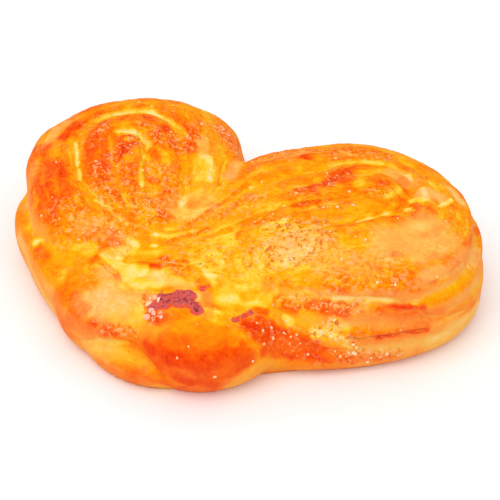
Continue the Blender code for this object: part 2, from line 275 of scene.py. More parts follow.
def right_crown(x, y):
    """Height of the right lobe's cap: rising from its pinch, sinking to the right, less its furrows."""
    _, share, _ = layer_level(x, y, *RIGHT_LAYERS)
    z = RIGHT_FRONT + (RIGHT_TOP - RIGHT_FRONT) * ease(share * RIGHT_RISE)
    z = z - RIGHT_DROOP[1] * np.maximum(x - RIGHT_DROOP[0], 0.0)
    return z - furrows(x, y, RIGHT_LAYERS, RIGHT_FURROWS)


def heel_crown(x, y):
    """Height of the heel: highest at the tip, less its fall times an ease under the right lobe."""
    start, length, fall = HEEL_FALL
    return HEEL_TOP - fall * ease((x - start) / length)


FOLDS = {                  # each piece of dough: its kind of shape and its sizes
    "left_lobe": (fold, dict(
        pinch=(-8.0, -26.0), focus=(-36.2, 16.3), reach=27.4, left=31.2, right=31.6,
        full=(0.7, 0.8), power=(1.0, 0.9), crown=left_crown, edge=15.0, flat=0.5)),
    "front": (pillow, dict(
        middle=(-14.0, -16.0),
        ellipses=((-42.5, -1.0, 20.4, 22.0, 0.0), (-29.0, -12.3, 37.0, 22.5, -41.0),
                  (-15.4, -29.4, 18.0, 17.0, 0.0), (8.5, -27.6, 20.2, 21.6, 0.0),
                  (4.0, -12.0, 26.0, 20.0, 30.0)),
        crown=front_crown, edge=9.0, flat=0.5)),
    "tip_under": (pillow, dict(
        middle=(-3.0, -30.0), ellipses=((-4.0, -29.0, 24.0, 21.0, 0.0),), crown=9.0, edge=5.0)),
    "heel_tail": (fold, dict(
        pinch=(52.0, -13.0), focus=(10.0, -27.0), reach=19.0, left=11.6, right=12.0,
        power=(1.5, 0.8), crown=heel_crown, edge=8.0)),
    "right_cap": (fold, dict(
        pinch=(-13.0, -21.0), focus=(35.2, 16.5), reach=28.0, left=32.7, right=34.2,
        full=(0.8, 1.0), power=(1.1, 1.0), crown=right_crown, edge=20.0, foot=12.0, flat=0.5)),
    "right_second": (fold, dict(
        pinch=(-6.0, -26.0), focus=(36.2, 16.0), reach=29.6, left=31.0, right=35.5,
        crown=21.0, edge=16.0, foot=8.0)),
    "right_third": (fold, dict(
        pinch=(0.0, -30.0), focus=(36.5, 13.5), reach=30.5, left=32.5, right=35.5,
        crown=16.0, edge=11.0, foot=5.0)),
    "right_base": (fold, dict(
        pinch=(0.0, -36.0), focus=(36.0, 14.0), reach=30.0, left=31.0, right=35.0,
        crown=10.0, edge=5.5)),
}
UNEVEN = ((0.7, 17.0), (0.3, 7.0))     # height and spacing of the dough's unevenness
UNEVEN_SEED = 3            # its draw
FLAT_FOOT = 4.0            # height over which that unevenness grows from the flat underside
TRAY_GAP = 0.5             # dough this close to the baking tray lies flat on it
SKIN = 0.42                # spacing of the skin's points
SKIN_TRIANGLES = 196000    # triangles kept in the end, fewest where the dough is smooth
MELT = (                   # where one fold bakes into the next: middle x, y and size
    (-2.0, -27.0, 18.0, 8.0), (24.0, -24.0, 14.0, 8.0), (-38.0, -24.0, 14.0, 8.0),
    (-12.0, -21.0, 8.0, 6.0), (22.0, -38.0, 11.0, 10.0), (-8.0, -37.0, 12.0, 8.0),
)
MELT_ALL = 0.14            # how much of that the whole dough gets
MELT_ROUNDS = 110          # rounds of smoothing that it takes
CRAGS = (                  # torn and crumbly dough: middle x, y, size along x and y, height
    (12.0, -19.0, 20.0, 6.5, 0.9), (-10.0, -29.0, 13.0, 5.5, 1.0), (8.0, -3.0, 14.0, 8.0, 0.4),
)
CRAG_FOOT = (12.0, 4.0)    # height where the crags begin, and over which they grow
CRAG_SPACING, CRAG_SEED = 3.2, 5       # spacing and draw of their lumps
LOBE_SEAM = ((2.4, 10, 27.4), (0.4, 5, 26.4), (-1, 0.9, 25.6), (-3.4, -2.8, 25), (-4.4, -5.8, 24.3),
             (-6.2, -9.3, 23.8))       # between the lobes
SEAM_END = ((-0.3, -10, 25), (-2.4, -12.9, 24.4), (-6, -14.7, 23.6), (-8.5, -17.4, 23))   # below it
PALE_LINE = ((20.1, 26.9, 28.2), (23.2, 30.4, 28), (26.7, 33, 27.6), (31, 34.2, 27.4),
             (35.4, 34.4, 27.5), (38.9, 32.9, 27.3), (41.1, 31.4, 27.2))    # on the right lobe
ARM_CREASE = ((-8.1, 19.1, 27.3), (-6.8, 12.9, 27.4), (-5.2, 8.1, 26.1))   # on the left lobe's arm
CUTS = (                   # creases in the crust: depth, half width, then the crease's path
    (0.9, 0.8, (-19.4, -45.8, 6.8), (-14.4, -46.4, 9.4), (-9.6, -45.6, 9.8), (-5.8, -44.7, 9.7),
     (-1.7, -46.5, 9.9), (2.1, -48.4, 8.8), (5.2, -49.2, 7.2), (8.3, -48.4, 4)),  # over the thin end
    (1.3, 0.4, (45.2, -22.6, 12.2), (47.7, -21.4, 11.5), (50.6, -19.6, 11.7), (54.3, -17.2, 12.1),
     (58.5, -14.1, 12.2), (62.3, -10.8, 11.6)),  # slit at the right
    (0.6, 0.6, (60.6, -9.7, 14.8), (65.2, -5.2, 13.3), (68.6, 0.5, 11.8), (69.6, 6.3, 11.2)),
    (0.7, 0.6, (56.6, -9.8, 22.1), (59.4, -7.1, 22.3), (61.8, -3.7, 22.3), (64, 0.9, 22.2),
     (65.1, 7.1, 21.5)),  # under the cap
    (0.5, 0.7, (32.7, -21.5, 22.5), (35.8, -20.9, 21.5), (39.9, -19.6, 21.2), (43.3, -18, 20.9),
     (46.9, -16.1, 20.6), (51.4, -13.4, 19.8), (54.9, -11.1, 18.9), (59.2, -9.4, 18.1)),  # below the cap
    (0.5, 0.6, (50.6, -14.9, 18.4), (55.2, -13.4, 17.5), (59.6, -10.5, 16.7), (61, -9.3, 14.7)),  # red band
    (0.7, 0.5, *LOBE_SEAM), (0.6, 0.5, *SEAM_END), (0.5, 0.5, *PALE_LINE), (0.4, 0.5, *ARM_CREASE),
    (0.6, 0.7, (-24.1, -26, 19.8), (-19, -25.4, 20), (-12.4, -25.5, 21.4), (-5.5, -24.5, 22.6),
     (-0.1, -23.7, 22.7)),  # above the tear
    (0.5, 0.6, (-24.4, -27.1, 18.8), (-20.9, -28.6, 19.4), (-18, -30, 19.6), (-15.2, -32.9, 20.2),
     (-13.1, -35.2, 19.9), (-9.8, -36.1, 19.7), (-4.3, -35.5, 20.8), (1.9, -33.6, 22)),  # below the tear
    (0.5, 0.8, (2.6, -28, 23), (7.4, -32.8, 22.3), (10.5, -35.2, 20.8), (13.1, -37.8, 19.5),
     (16.6, -37, 18.7), (19.3, -34.5, 18.4)),  # heel and middle
    (0.5, 0.7, (19.3, -34.5, 18.4), (20.9, -30.8, 18.4), (23.2, -27.3, 17.8), (26.7, -27, 15.9),
     (30.9, -27.1, 13.4), (35.4, -26.1, 12.8)),  # right heel
    (0.5, 0.5, (35.9, 5.4, 27.5), (37.6, 8.3, 27), (39.5, 10.9, 26.9), (41.4, 13.5, 26.7)),  # furrow right
    (0.6, 0.5, (14.7, -8, 27.2), (18, -6.4, 27.8), (21.3, -4.1, 28.2), (24.5, -1.8, 28.2),
     (28.7, 1.3, 28.1), (32, 4.5, 27.9)),  # furrow mid
    (0.6, 0.5, (-32.8, -11.1, 25.9), (-36.8, -8.8, 25.9), (-41.6, -5.3, 26.4), (-45.2, 0, 26.8),
     (-48.8, 5.7, 27.2), (-51.1, 9.3, 27.5), (-51.8, 14.1, 27.9), (-51.1, 18.1, 28.2),
     (-49.5, 22.4, 28.6), (-46.8, 26.1, 28.9), (-43.4, 28.4, 29.1), (-39.5, 29.8, 29.3),
     (-35.3, 29.3, 29.3), (-29.8, 27.4, 29.3), (-25.6, 25.5, 29.5), (-21.3, 21.3, 29.6)),  # outer furrow
    (0.6, 0.5, (-33.5, -10.8, 25.9), (-30.5, -12.4, 25.7), (-27.3, -13.9, 25.3), (-24.2, -15.1, 24.7),
     (-21.2, -15.8, 24.1)),  # its foot
    (0.6, 0.5, (-41.7, 15, 30.1), (-39.9, 17, 30), (-37.1, 17.8, 29.6), (-34, 16.8, 29.3),
     (-30.2, 13.7, 29.4), (-29.1, 9.2, 29.3), (-26.6, 3.1, 29.7), (-24.7, -1, 29.1), (-23, -3.3, 28.3)),
    (0.4, 0.5, (-16, -2.7, 27.3), (-15.6, -7.3, 25.7), (-13.4, -9.8, 24.7), (-10.6, -10.2, 23.8)),
)
CUT_STRAY = (0.4, 5.0, (14, 15, 16))   # how far a crease strays from its path, over what length, draws
TEAR = ((-19.9, -27, 19.5), (-14.9, -29.6, 20.6), (-9.6, -31.9, 21.3), (-4.3, -31.6, 21.8), (1.4, -32, 22.7))
TEAR_WIDTH, TEAR_DEPTH = 3.4, 0.7      # half width and depth of that open tear
BURNS = (                  # melted and burnt sugar: half width, how burnt, then the path
    (1.4, 1, (-0.8, -39.1, 20), (0.8, -38.2, 20.5), (0.7, -36.4, 21.1)),
    (2, 0.8, (0.3, -36.2, 21.1), (2.8, -34.9, 21.7), (5.5, -34.6, 21.7)),
    (1.5, 0.95, (4.4, -35.9, 21.3), (6.8, -36.2, 21), (9.4, -36.9, 20.5)),
    (0.6, 0.55, (18.9, -34.4, 18.5), (20.2, -32.4, 18.4), (21.2, -29.7, 18.4)),
    (0.7, 0.42, (8.2, -31.4, 22.8), (9.1, -29.9, 23)),
)
BURN_RAGGED = 1.8          # how much more ragged a burn's edge is than other smears
BURN_RISE = 0.35           # height of the burnt sugar over the crust
CRUMB = ((4, -24, 24), (12, -18, 25), (22, -13, 26), (29, -7, 28))     # path along the open crumb
CRUMB_WIDTH = 6.0          # half width of its rough relief
STREAK = (0.07, 0.17)      # spacing of the streaks across and along the layers, as shares
LOOP = 0.5                 # length of a quarter of a loop's tip, as a share of an arm
STREAK_HEIGHT = 0.13       # height of their crests
STREAK_STRAY = (0.35, 5.0)     # how far a streak strays, in its own sizes, and over what length
STREAK_FADE = 9.0          # spacing of the places where the streaks fade
LEFT_SEED, RIGHT_SEED = 21, 25     # draws of the left and the right lobe's streaks
CUT_FACE_FOOT = (16.0, 3.0)    # height where the lobes' cut faces begin, and over which they begin
LOBE_EDGE = (1.04, 0.06)   # level where a cut face ends, and the levels over which it fades
BESIDE = 0.15              # levels over which one lobe's face gives way to the other's
FACE_START = (0.1, 0.4)    # share of the way from the pinch where it begins, and over which it grows
# height, spacing and seed of the unevenness of smears' edges, crust, open crumb and burnt sugar
ROUGH = ((1.0, 4.5, 11), (0.6, 2.0, 12), (0.3, 1.1, 13))
CRUST_LUMPS = ((0.10, 1.3, 31), (0.13, 2.6, 32))
CRUMB_LUMPS = ((0.35, 1.3, 33), (0.3, 2.4, 34))
BURN_LUMPS = ((0.5, 1.2, 35),)
ALONG_NORMAL = 0.95        # share of a way along the normal that doesn't count
SMEAR_END = 1.5            # a smear has gone so many half widths from its path
SMEAR_RAGGED = 0.35        # how far roughness moves its edge, in half widths
UP = (0.15, 0.5)           # upward part of the normal where the top begins, and over which it grows


def new_piece(name, points, faces, collection):
    """An object at the origin whose mesh has these points, in metres, and faces."""
    mesh = bpy.data.meshes.new(name)
    mesh.from_pydata(points, [], faces)
    piece = bpy.data.objects.new(name, mesh)
    collection.objects.link(piece)
    return piece


def dough_piece(name, shape, sizes, collection):
    """One closed piece of dough: the shape over a grid of angles around and from the top
    down, with its first and last row drawn together to one point each."""
    around, over = np.meshgrid(np.arange(ROUND) * 2.0 * pi / ROUND, np.arange(1, OVER) * pi / OVER)
    rings = shape(around, over, **sizes).reshape(-1, 3)
    poles = shape(np.zeros(2), np.array([0.0, pi]), **sizes)
    points = np.concatenate([rings, poles])
    outward = points - points.mean(axis=0)
    outward = outward / np.linalg.norm(outward, axis=1, keepdims=True)
    for size, spacing in UNEVEN:
        swell = size * lumps(points, spacing, UNEVEN_SEED) * ease(points[:, 2] / FLAT_FOOT)
        points = points + outward * swell[:, None]
    index = np.arange((OVER - 1) * ROUND).reshape(OVER - 1, ROUND)
    beside = np.roll(index, -1, axis=1)
    walls = np.stack([index[:-1], index[1:], beside[1:], beside[:-1]], axis=-1).reshape(-1, 4)
    top, bottom = np.full(ROUND, index.size), np.full(ROUND, index.size + 1)
    lids = np.concatenate([np.stack([top, index[0], beside[0]], axis=-1),
                           np.stack([bottom, beside[-1], index[-1]], axis=-1)])
    return new_piece(name, (points - MIDDLE) * MM, walls.tolist() + lids.tolist(), collection)


def finished_mesh(obj):
    """The mesh that an object's modifiers make; the modifiers go."""
    graph = bpy.context.evaluated_depsgraph_get()
    mesh = bpy.data.meshes.new_from_object(obj.evaluated_get(graph))
    obj.modifiers.clear()
    obj.data = mesh
    return mesh


def neighbour_mean(values, edges, count):
    """Mean over each point's neighbours: sums along the edges, divided by their number."""
    sides = [np.concatenate([edges[:, 0], edges[:, 1]]), np.concatenate([edges[:, 1], edges[:, 0]])]
    number = np.bincount(sides[0], minlength=count)
    sums = [np.bincount(sides[0], column[sides[1]], count) for column in values.T]
    return np.stack(sums, axis=-1) / number[:, None]


def smoothed(points, edges, weight, rounds):
    """Points drawn towards the mean of their neighbours by their weight, again and again."""
    for _ in range(rounds):
        points = points + weight[:, None] * (neighbour_mean(points, edges, len(points)) - points)
    return points


dough_collection = bpy.data.collections.new("folds")
bpy.context.scene.collection.children.link(dough_collection)
bun_name, *fold_names = FOLDS
bun = dough_piece("baked_bun", *FOLDS[bun_name], bpy.context.scene.collection)
for fold_name in fold_names:
    dough_piece(fold_name, *FOLDS[fold_name], dough_collection)
union = bun.modifiers.new("union", "BOOLEAN")
union.operation = "UNION"
union.operand_type = "COLLECTION"
union.collection = dough_collection
union.solver = "MANIFOLD"
skin = bun.modifiers.new("skin", "REMESH")
skin.mode = "VOXEL"
skin.voxel_size = SKIN * MM
bun_mesh = finished_mesh(bun)
for other in list(dough_collection.objects):
    bpy.data.objects.remove(other, do_unlink=True)
bpy.data.collections.remove(dough_collection)


def read_rows(parts, name, width, kind=np.float32):
    """What the mesh keeps by that name, as one row of numbers for each of its parts."""
    flat = np.zeros(len(parts) * width, kind)
    parts.foreach_get(name, flat)
    return flat.reshape(-1, width)


def get_points(mesh):
    """The mesh's points in the heart's own frame, in millimetres."""
    return read_rows(mesh.vertices, "co", 3).astype(float) / MM + MIDDLE


def put_points(mesh, points):
    """Write the points into the mesh, in metres about the origin."""
    mesh.vertices.foreach_set("co", ((points - MIDDLE) * MM).astype(np.float32).ravel())
    mesh.update()


def path_distance(points, normals, path):
    """Distance of each point from a path, measured along the crust: the least length of the
    way to its straight stretches, of which the part along the normal hardly counts."""
    nearest = np.full(len(points), np.inf)
    corners = np.array(path, float)
    for start, end in zip(corners, corners[1:]):
        along = end - start
        part = np.clip((points - start) @ along / (along @ along), 0.0, 1.0)
        way = points - start - part[:, None] * along
        depth = np.sum(way * normals, axis=1) ** 2
        nearest = np.minimum(nearest, np.sum(way * way, axis=1) - ALONG_NORMAL * depth)
    return np.sqrt(np.maximum(nearest, 0.0))


def smear(points, normals, path, half_width, rough):
    """1 along a path and 0 well away from it: an ease of the distance in half widths, whose
    edge the roughness field makes ragged."""
    away = path_distance(points, normals, path) / half_width
    return ease(SMEAR_END - away - SMEAR_RAGGED * rough)


def most(smears, points, normals, rough):
    """The most that the smears give each point: the greatest of how much times the smear."""
    total = np.zeros(len(points))
    for half_width, much, *path in smears:
        total = np.maximum(total, much * smear(points, normals, path, half_width, rough))
    return total


def upness(normals):
    """1 where the crust faces up, 0 on the sides and underneath: an ease of the normal's z."""
    return ease((normals[:, 2] - UP[0]) / UP[1])


def on_lobes(points, normals):
    """For each lobe how surely a point lies on its cut face, and its level, share and side:
    the product of eases that end the face at its edges."""
    x, y, z = points.T
    left, right = layer_level(x, y, *LEFT_LAYERS), layer_level(x, y, *RIGHT_LAYERS)
    high = ease((z - CUT_FACE_FOOT[0]) / CUT_FACE_FOOT[1]) * upness(normals)
    faces = []
    for own, other in ((left, right), (right, left)):
        inside = ease((LOBE_EDGE[0] - own[0]) / LOBE_EDGE[1])
        nearer = ease(0.5 + (other[0] - own[0]) / BESIDE)
        started = ease((own[1] - FACE_START[0]) / FACE_START[1])
        faces.append((inside * nearer * high * started, *own))
    return faces


def along_layers(points, lobe, seed):
    """Place across and along a lobe's layers, in streaks' own sizes, wandering a little.

    Along a layer it runs from the end of the right arm round the tip of the loop to the end
    of the left one: the angle about the focus ahead of it, the share of the arm behind it.
    """
    _, level, share, side = lobe
    wander = STREAK_STRAY[0] * lumps(points, STREAK_STRAY[1], seed)
    turned = LOOP * np.arcsin(np.clip(side, -1.0, 1.0)) / (0.5 * pi)
    along = np.where(share >= 1.0, turned, np.sign(side) * (LOOP + 1.0 - share))
    return np.stack([level / STREAK[0] + wander, along / STREAK[1] + wander, 0.0 * level], axis=-1)


def streaks(points, lobe, seed):
    """Streaks along a lobe's layers: two sizes of unevenness stretched along the arms, by
    level and share, that come and go."""
    place = along_layers(points, lobe, seed + 2)
    line = lumps(place, 1.0, seed) + 0.5 * lumps(place * 2.1, 1.0, seed + 1)
    return lobe[0] * line * ease(0.55 + 0.7 * lumps(points, STREAK_FADE, seed + 3))


def crust(mesh, points):
    """What the crust's finish is worked out from, at each point: its normal, its roughness,
    how far it faces up, its place on each lobe, and the streaks of both lobes."""
    normals = read_rows(mesh.vertex_normals, "vector", 3).astype(float)
    lobes = on_lobes(points, normals)
    streak = streaks(points, lobes[0], LEFT_SEED) + streaks(points, lobes[1], RIGHT_SEED)
    return normals, mixed_lumps(points, ROUGH), upness(normals), lobes, streak


points = get_points(bun_mesh)
edges = read_rows(bun_mesh.edges, "vertices", 2, np.int32)
melt = np.full(len(points), MELT_ALL)
for place in MELT:
    melt = np.maximum(melt, spot(points[:, 0], points[:, 1], *place))
melt = melt * ease((points[:, 2] - 1.0) / FLAT_FOOT)
points = smoothed(points, edges, melt, MELT_ROUNDS)
torn_height = swells(points[:, 0], points[:, 1], CRAGS)
torn_height = torn_height * ease((points[:, 2] - CRAG_FOOT[0]) / CRAG_FOOT[1])
points[:, 2] += torn_height * lumps(points, CRAG_SPACING, CRAG_SEED)
points[:, 2] = np.where(points[:, 2] < TRAY_GAP, 0.0, points[:, 2])
put_points(bun_mesh, points)

normals, rough, up, lobes, streak = crust(bun_mesh, points)
stray = np.stack([lumps(points, CUT_STRAY[1], seed) for seed in CUT_STRAY[2]], axis=-1)
relief = STREAK_HEIGHT * streak
relief += up * mixed_lumps(points, CRUST_LUMPS)
for depth, half_width, *path in CUTS:
    away = path_distance(points + CUT_STRAY[0] * stray, normals, path)
    relief -= depth * bell(away / half_width) * ease(0.75 + 0.3 * rough)
crumb = smear(points, normals, CRUMB, CRUMB_WIDTH, rough) * up
tear = smear(points, normals, TEAR, TEAR_WIDTH, rough) * up
burn = most(BURNS, points, normals, BURN_RAGGED * rough) * up
relief += crumb * mixed_lumps(points, CRUMB_LUMPS)
relief += burn * (BURN_RISE + mixed_lumps(points, BURN_LUMPS)) - TEAR_DEPTH * tear
points = points + normals * (relief * ease(points[:, 2] / FLAT_FOOT))[:, None]
put_points(bun_mesh, points)
thin = bun.modifiers.new("thin", "DECIMATE")
thin.ratio = SKIN_TRIANGLES / (2 * len(bun_mesh.polygons))
thin.use_collapse_triangulate = True
bun_mesh = finished_mesh(bun)

# Its crust: the cut layers browned on their ridges and stayed pale in their furrows. Egg wash ran over
# the heel and the middle and baked to a glossy orange; the sides and the dough that was covered stayed
# pale. A few places tore open, and some sugar melted and burnt. The seams between the folds, the slit at
# the right and other creases are also painted darker, as painted shade in them.
# strokes that follow a crease and are darker than the crust round them are painted shade in that crease,
# over the crust's own browning
BROWNED_AND_SHADED = (                # half width, how brown, how much of that, then the smear's path
    # left lobe: rim and outer bands
    (1.2, 0.44, 0.8, (-49, 31, 29), (-42, 33, 30), (-35, 33, 31)),
    (2.2, 0.42, 0.8, (-59, 9, 27), (-59, 14, 28), (-58, 19, 28)),
    (1.6, 0.88, 0.85, (-55, 8, 28), (-54, 12, 29), (-54, 18, 29), (-53, 21, 29), (-51, 24, 29)),
    (3, 0.72, 0.8, (-60, 4, 25), (-59, -2, 24), (-55, -9, 23), (-53, -13, 21)),
    (2.6, 0.86, 0.8, (-54, -2, 26), (-52, -8, 25), (-47, -15, 24), (-43, -20, 23)),
    (1.5, 0.86, 0.8, (-51, -1, 28), (-48, -5, 27), (-44, -10, 27), (-41, -13, 26)),
    (2, 0.48, 0.8, (-55, 5, 28), (-52, 2, 28)),
    (2.4, 0.72, 0.7, (-41, -16, 25), (-38, -18, 24), (-39, -21, 23)),
    (2.2, 0.78, 0.6, (-30, 29, 30), (-27, 28, 30), (-24, 26, 30)),
    (2.6, 0.52, 0.7, (-26, 33, 31), (-21, 32, 30), (-18, 34, 28)),
    (2.8, 0.74, 0.8, (-15, 31, 28), (-11, 28, 27), (-7, 25, 26)),
    (2.4, 0.52, 0.7, (-17, 29, 29), (-13, 22, 29), (-8, 14, 28)),
    # its middle
    (2.2, 0.8, 0.85, (-46, 13, 30), (-45, 8, 30), (-43, 2, 28), (-40, -3, 27)),
    (1.8, 0.76, 0.8, (-42, 10, 30), (-39, 4, 29), (-35, 0, 29)),
    (1.2, 0.72, 0.8, (-52, 5, 28), (-48, -1, 28), (-45, -5, 27)),
    (1.8, 0.8, 0.8, (-42, 22, 31), (-38, 24, 31), (-33, 23, 31), (-28, 22, 31)),
    (2.6, 0.74, 0.7, (-29, 18, 31), (-24, 17, 30), (-21, 18, 29)),
    (1.8, 0.8, 0.7, (-22, 25, 30), (-19, 22, 30), (-19, 17, 29)),
    (1.4, 0.44, 0.8, (-42, 17, 31), (-40, 20, 31), (-37, 21, 31)),
    (2.4, 0.78, 0.7, (-39, -1, 29), (-34, -4, 29), (-35, -6, 28)),
    (2.6, 0.94, 0.9, (-36, 6, 29), (-35, 8, 30), (-35, 12, 30)),
    (1.8, 0.86, 0.7, (-37, 14, 30), (-34, 13, 30)),
    (2, 0.76, 0.7, (-30, 1, 29), (-28, -3, 28), (-25, -5, 28)),
    (3, 0.66, 0.6, (-24, 9, 30), (-19, 3, 29), (-16, -2, 28)),
    (1.2, 0.84, 0.7, (-22, 0, 28), (-20, 0, 28)),
    (2.6, 0.62, 0.6, (-28, -8, 27), (-22, -9, 27), (-18, -9, 26)),
    (1.4, 0.86, 0.85, (-16, -3, 27), (-16, -7, 26), (-13, -10, 25), (-11, -10, 24)),
    # its arm by the cleft, and the smooth patch
    (3.2, 0.32, 0.85, (-13, 13, 29), (-8, 5, 27), (-8, 0, 26)),
    (2.8, 0.4, 0.8, (-6, 7, 26), (-1, 6, 27), (3, 9, 27)),
    (1.4, 0.36, 0.8, (-17, 22, 30), (-13, 15, 29)),
    (1.5, 0.06, 0.95, (-12, 15, 29), (-9, 11, 28), (-8, 8, 28)),
    (3.4, 0.32, 0.9, (-11, -4, 25), (-8, -4, 25), (-6, -1, 25)),
    (1.4, 0.38, 0.8, (-5, 19, 26), (-4, 14, 26)),
    (0.6, 0.7, 0.8, *ARM_CREASE),
    # its foot
    (3.4, 0.5, 0.6, (-38, -20, 23), (-31, -19, 24), (-25, -18, 23)),
    (2, 0.52, 0.7, (-44, -22, 19), (-40, -24, 19)),
    (1.8, 0.26, 0.85, (-37, -25, 18), (-32, -26, 20), (-27, -25, 20)),
    (1.2, 0.06, 0.9, (-46, -23, 15), (-44, -24, 16)),
    (1.8, 0.8, 0.85, (-44, -25, 15), (-41, -28, 15), (-38, -30, 15)),
    (1.5, 0.78, 0.75, (-24, -19, 23), (-23, -21, 22), (-21, -22, 22)),
    (1, 0.9, 0.8, (-25.9, -28.3, 18.2), (-25.1, -27, 18.9)),
    (0.8, 0.9, 0.8, (-25.4, -35.2, 17.3), (-24.9, -34.4, 17.6)),
    (3.6, 0.52, 0.7, (-35, -30, 16), (-29, -31, 17), (-23, -35, 18)),
    (1.2, 0.26, 0.8, (-33, -32, 16), (-31, -35, 16)),
    # the pale furrows of the left lobe
    (1, 0.44, 0.75, (-52.2, 8.9, 27.8), (-47.2, 0.7, 27.3), (-42.2, -5.9, 26.7)),
    (1.4, 0.42, 0.8, (-39, -8, 26), (-35, -9, 26), (-32, -11, 26)),
    (0.6, 0.14, 0.95, (-50.9, 8.9, 27.5), (-48, 4.9, 27.2), (-45.2, 0, 26.8)),
    (0.5, 0.24, 0.85, (-44.1, -1.4, 26.7), (-41.6, -5.3, 26.4)),
    (0.7, 0.1, 0.95, (-32.9, -11.4, 25.7), (-30.1, -12.6, 25.6), (-27.3, -13.9, 25.3),
     (-24.6, -14.9, 24.8)),
    (0.5, 0.24, 0.85, (-24.6, -14.9, 24.8), (-21.2, -15.8, 24.1)),
    (0.9, 0.36, 0.85, (-51.9, 13.6, 27.9), (-51.4, 17.5, 28.2), (-50.1, 21.1, 28.5), (-48.4, 24, 28.6)),
    (0.8, 0.22, 0.9, (-49.2, 23.1, 28.6), (-46.9, 25.6, 28.8), (-44.5, 27.3, 28.8)),
    (0.8, 0.14, 0.95, (-44.8, 27.8, 29.1), (-40.1, 29.6, 29.3), (-36.9, 29.8, 29.3),
     (-33.1, 28.2, 29.4)),
    (0.9, 0.34, 0.9, (-33.4, 28.1, 29.4), (-29.8, 27.4, 29.3), (-25.6, 25.5, 29.5),
     (-22.6, 22.6, 29.6)),
    (0.7, 0.26, 0.9, (-41.7, 15, 30.1), (-39.9, 17, 30), (-37.6, 17.6, 29.6)),
    (0.8, 0.14, 0.95, (-37.6, 17.6, 29.6), (-35, 17.3, 29.4), (-31, 14.6, 29.3)),
    (0.6, 0.32, 0.8, (-29.2, 8.8, 29.5), (-26.6, 3.1, 29.7)),
    (0.7, 0.22, 0.9, (-26, 2, 29.5), (-24.7, -1, 29.1), (-23.4, -3.1, 28.4)),
    (0.7, 0.34, 0.8, (-41.1, 11.9, 29.3), (-39.1, 8.8, 29)),
    # where the lobe ends: creases and pale spots
    (1.2, 0.07, 0.95, (-11, -12, 23), (-9, -11, 23)),
    (1, 0.24, 0.85, (-12.2, -15.9, 22.9), (-8.8, -15.1, 23), (-6.5, -13.6, 23.7), (-2.8, -12, 24.4)),
    (1.5, 0.3, 0.8, (-17, -17, 23), (-14, -17, 23), (-12, -16, 23)),
    (1.3, 0.12, 0.9, (-18, -20, 22), (-16, -21, 22)),
    (0.8, 0.06, 0.9, (-13.1, -16.5, 22.9), (-12.6, -16.2, 22.9)),
    (0.8, 0.06, 0.9, (-11.7, -19.8, 22.3), (-10.9, -19.7, 22.5)),
    (1.2, 0.22, 0.85, (-23, -25, 20), (-19, -23, 21), (-14, -23, 21), (-9, -22, 22)),
    (0.9, 0.6, 0.8, (-17.2, -25.3, 20.2), (-11, -25.3, 21.7), (-5.5, -24.5, 22.6), (-0.3, -23.4, 22.8)),
    # the open middle
    (4.2, 0.44, 0.7, (-2, -8, 25), (4, -14, 25), (6, -19, 24)),
    (3.6, 0.38, 0.75, (6, -17, 25), (11, -16, 25), (14, -11, 26)),
    (2.2, 0.42, 0.7, (-7, -21, 23), (-1, -19, 23), (6, -19, 24)),
    (3.4, 0.3, 0.85, (5, -9, 26), (9, -12, 26), (8, -16, 25)),
    (1.8, 0.76, 0.8, (10, -11, 26), (11, -12, 26)),
    (4.6, 0.34, 0.8, (7, -21, 24), (13, -23, 23), (18, -21, 24), (24, -19, 26)),
    (3, 0.34, 0.85, (13, -27, 22), (17, -28, 20), (19, -24, 22), (17, -23, 23)),
    (1.4, 0.1, 0.9, (5, -23, 23), (8, -27, 23), (10, -28, 23)),
    (1.2, 0.14, 0.85, (20, -27, 19), (23, -26, 18)),
    (2.2, 0.06, 0.95, (15, -35, 20), (17, -34, 19), (19, -33, 19)),
    (1.5, 0.24, 0.85, (12, -33, 21), (16, -31, 20), (18, -30, 20)),
    (0.8, 0.72, 0.75, (12.6, -34.4, 20.6), (15.7, -33.4, 19.9), (18.4, -31.4, 19.3)),
    (0.7, 0.74, 0.7, (16.4, -19.4, 25.2), (18.8, -19.9, 24.6)),
    (3.6, 0.48, 0.6, (9, -20, 24), (14, -19, 25), (17, -18, 26)),
    # the front fold: rim, bare dough, its edge
    (1.8, 0.36, 0.9, (-54, -20, 11), (-48, -25, 10), (-42, -31, 8), (-37, -34, 5), (-30, -40, 6)),
    (2.6, 0.7, 0.8, (-28, -38, 16), (-24, -41, 15), (-22, -45, 13)),
    (2, 0.8, 0.8, (-24, -44, 11), (-19, -46, 12), (-16, -46, 14)),
    (4.6, 0.28, 0.9, (-18, -42, 17), (-14, -40, 18), (-8, -40, 18), (-1, -44, 17)),
    (2.4, 0.4, 0.8, (-20, -31, 19), (-17, -34, 19)),
    (0.7, 0.72, 0.8, (-24.4, -27.1, 18.8), (-20.9, -28.6, 19.4), (-18, -30, 19.6), (-15.2, -32.9, 20.2),
     (-13.3, -34.9, 20)),
    (0.8, 0.4, 0.8, (-14.3, -37.4, 18.9), (-10.3, -36.8, 19.4), (-5.4, -36.2, 20.3)),
    (1.6, 0.84, 0.85, (-13, -46, 12), (-11, -46, 13), (-9, -45, 13)),
    (1.4, 0.72, 0.8, (-8, -45, 11), (-5, -45, 11), (-1, -46, 13)),
    (2, 0.52, 0.8, (3, -28, 23), (6, -31, 23), (7, -33, 22)),
    (1.6, 0.42, 0.7, (8, -34, 21), (11, -36, 21), (13, -38, 19)),
    (1.8, 0.28, 0.8, (-1, -31, 22), (3, -32, 23)),
    (1.4, 0.02, 0.95, (-12, -34, 20), (-10, -34, 20), (-8, -34, 21)),
    (1, 0.88, 0.85, (7.8, -31.3, 22.9), (9, -29.7, 23.1)),
    (0.8, 0.86, 0.8, (9.7, -34.6, 21.1), (10.7, -34.4, 21)),
    (0.9, 0.93, 0.9, (-8.3, -27, 21.9), (-6.2, -27.1, 22.2)),
    (1.6, 0.72, 0.7, (-6, -24, 23), (-2, -25, 23), (1, -27, 23)),
    (1.2, 0.92, 0.85, (-1, -42, 18), (2, -43, 18), (4, -42, 19)),
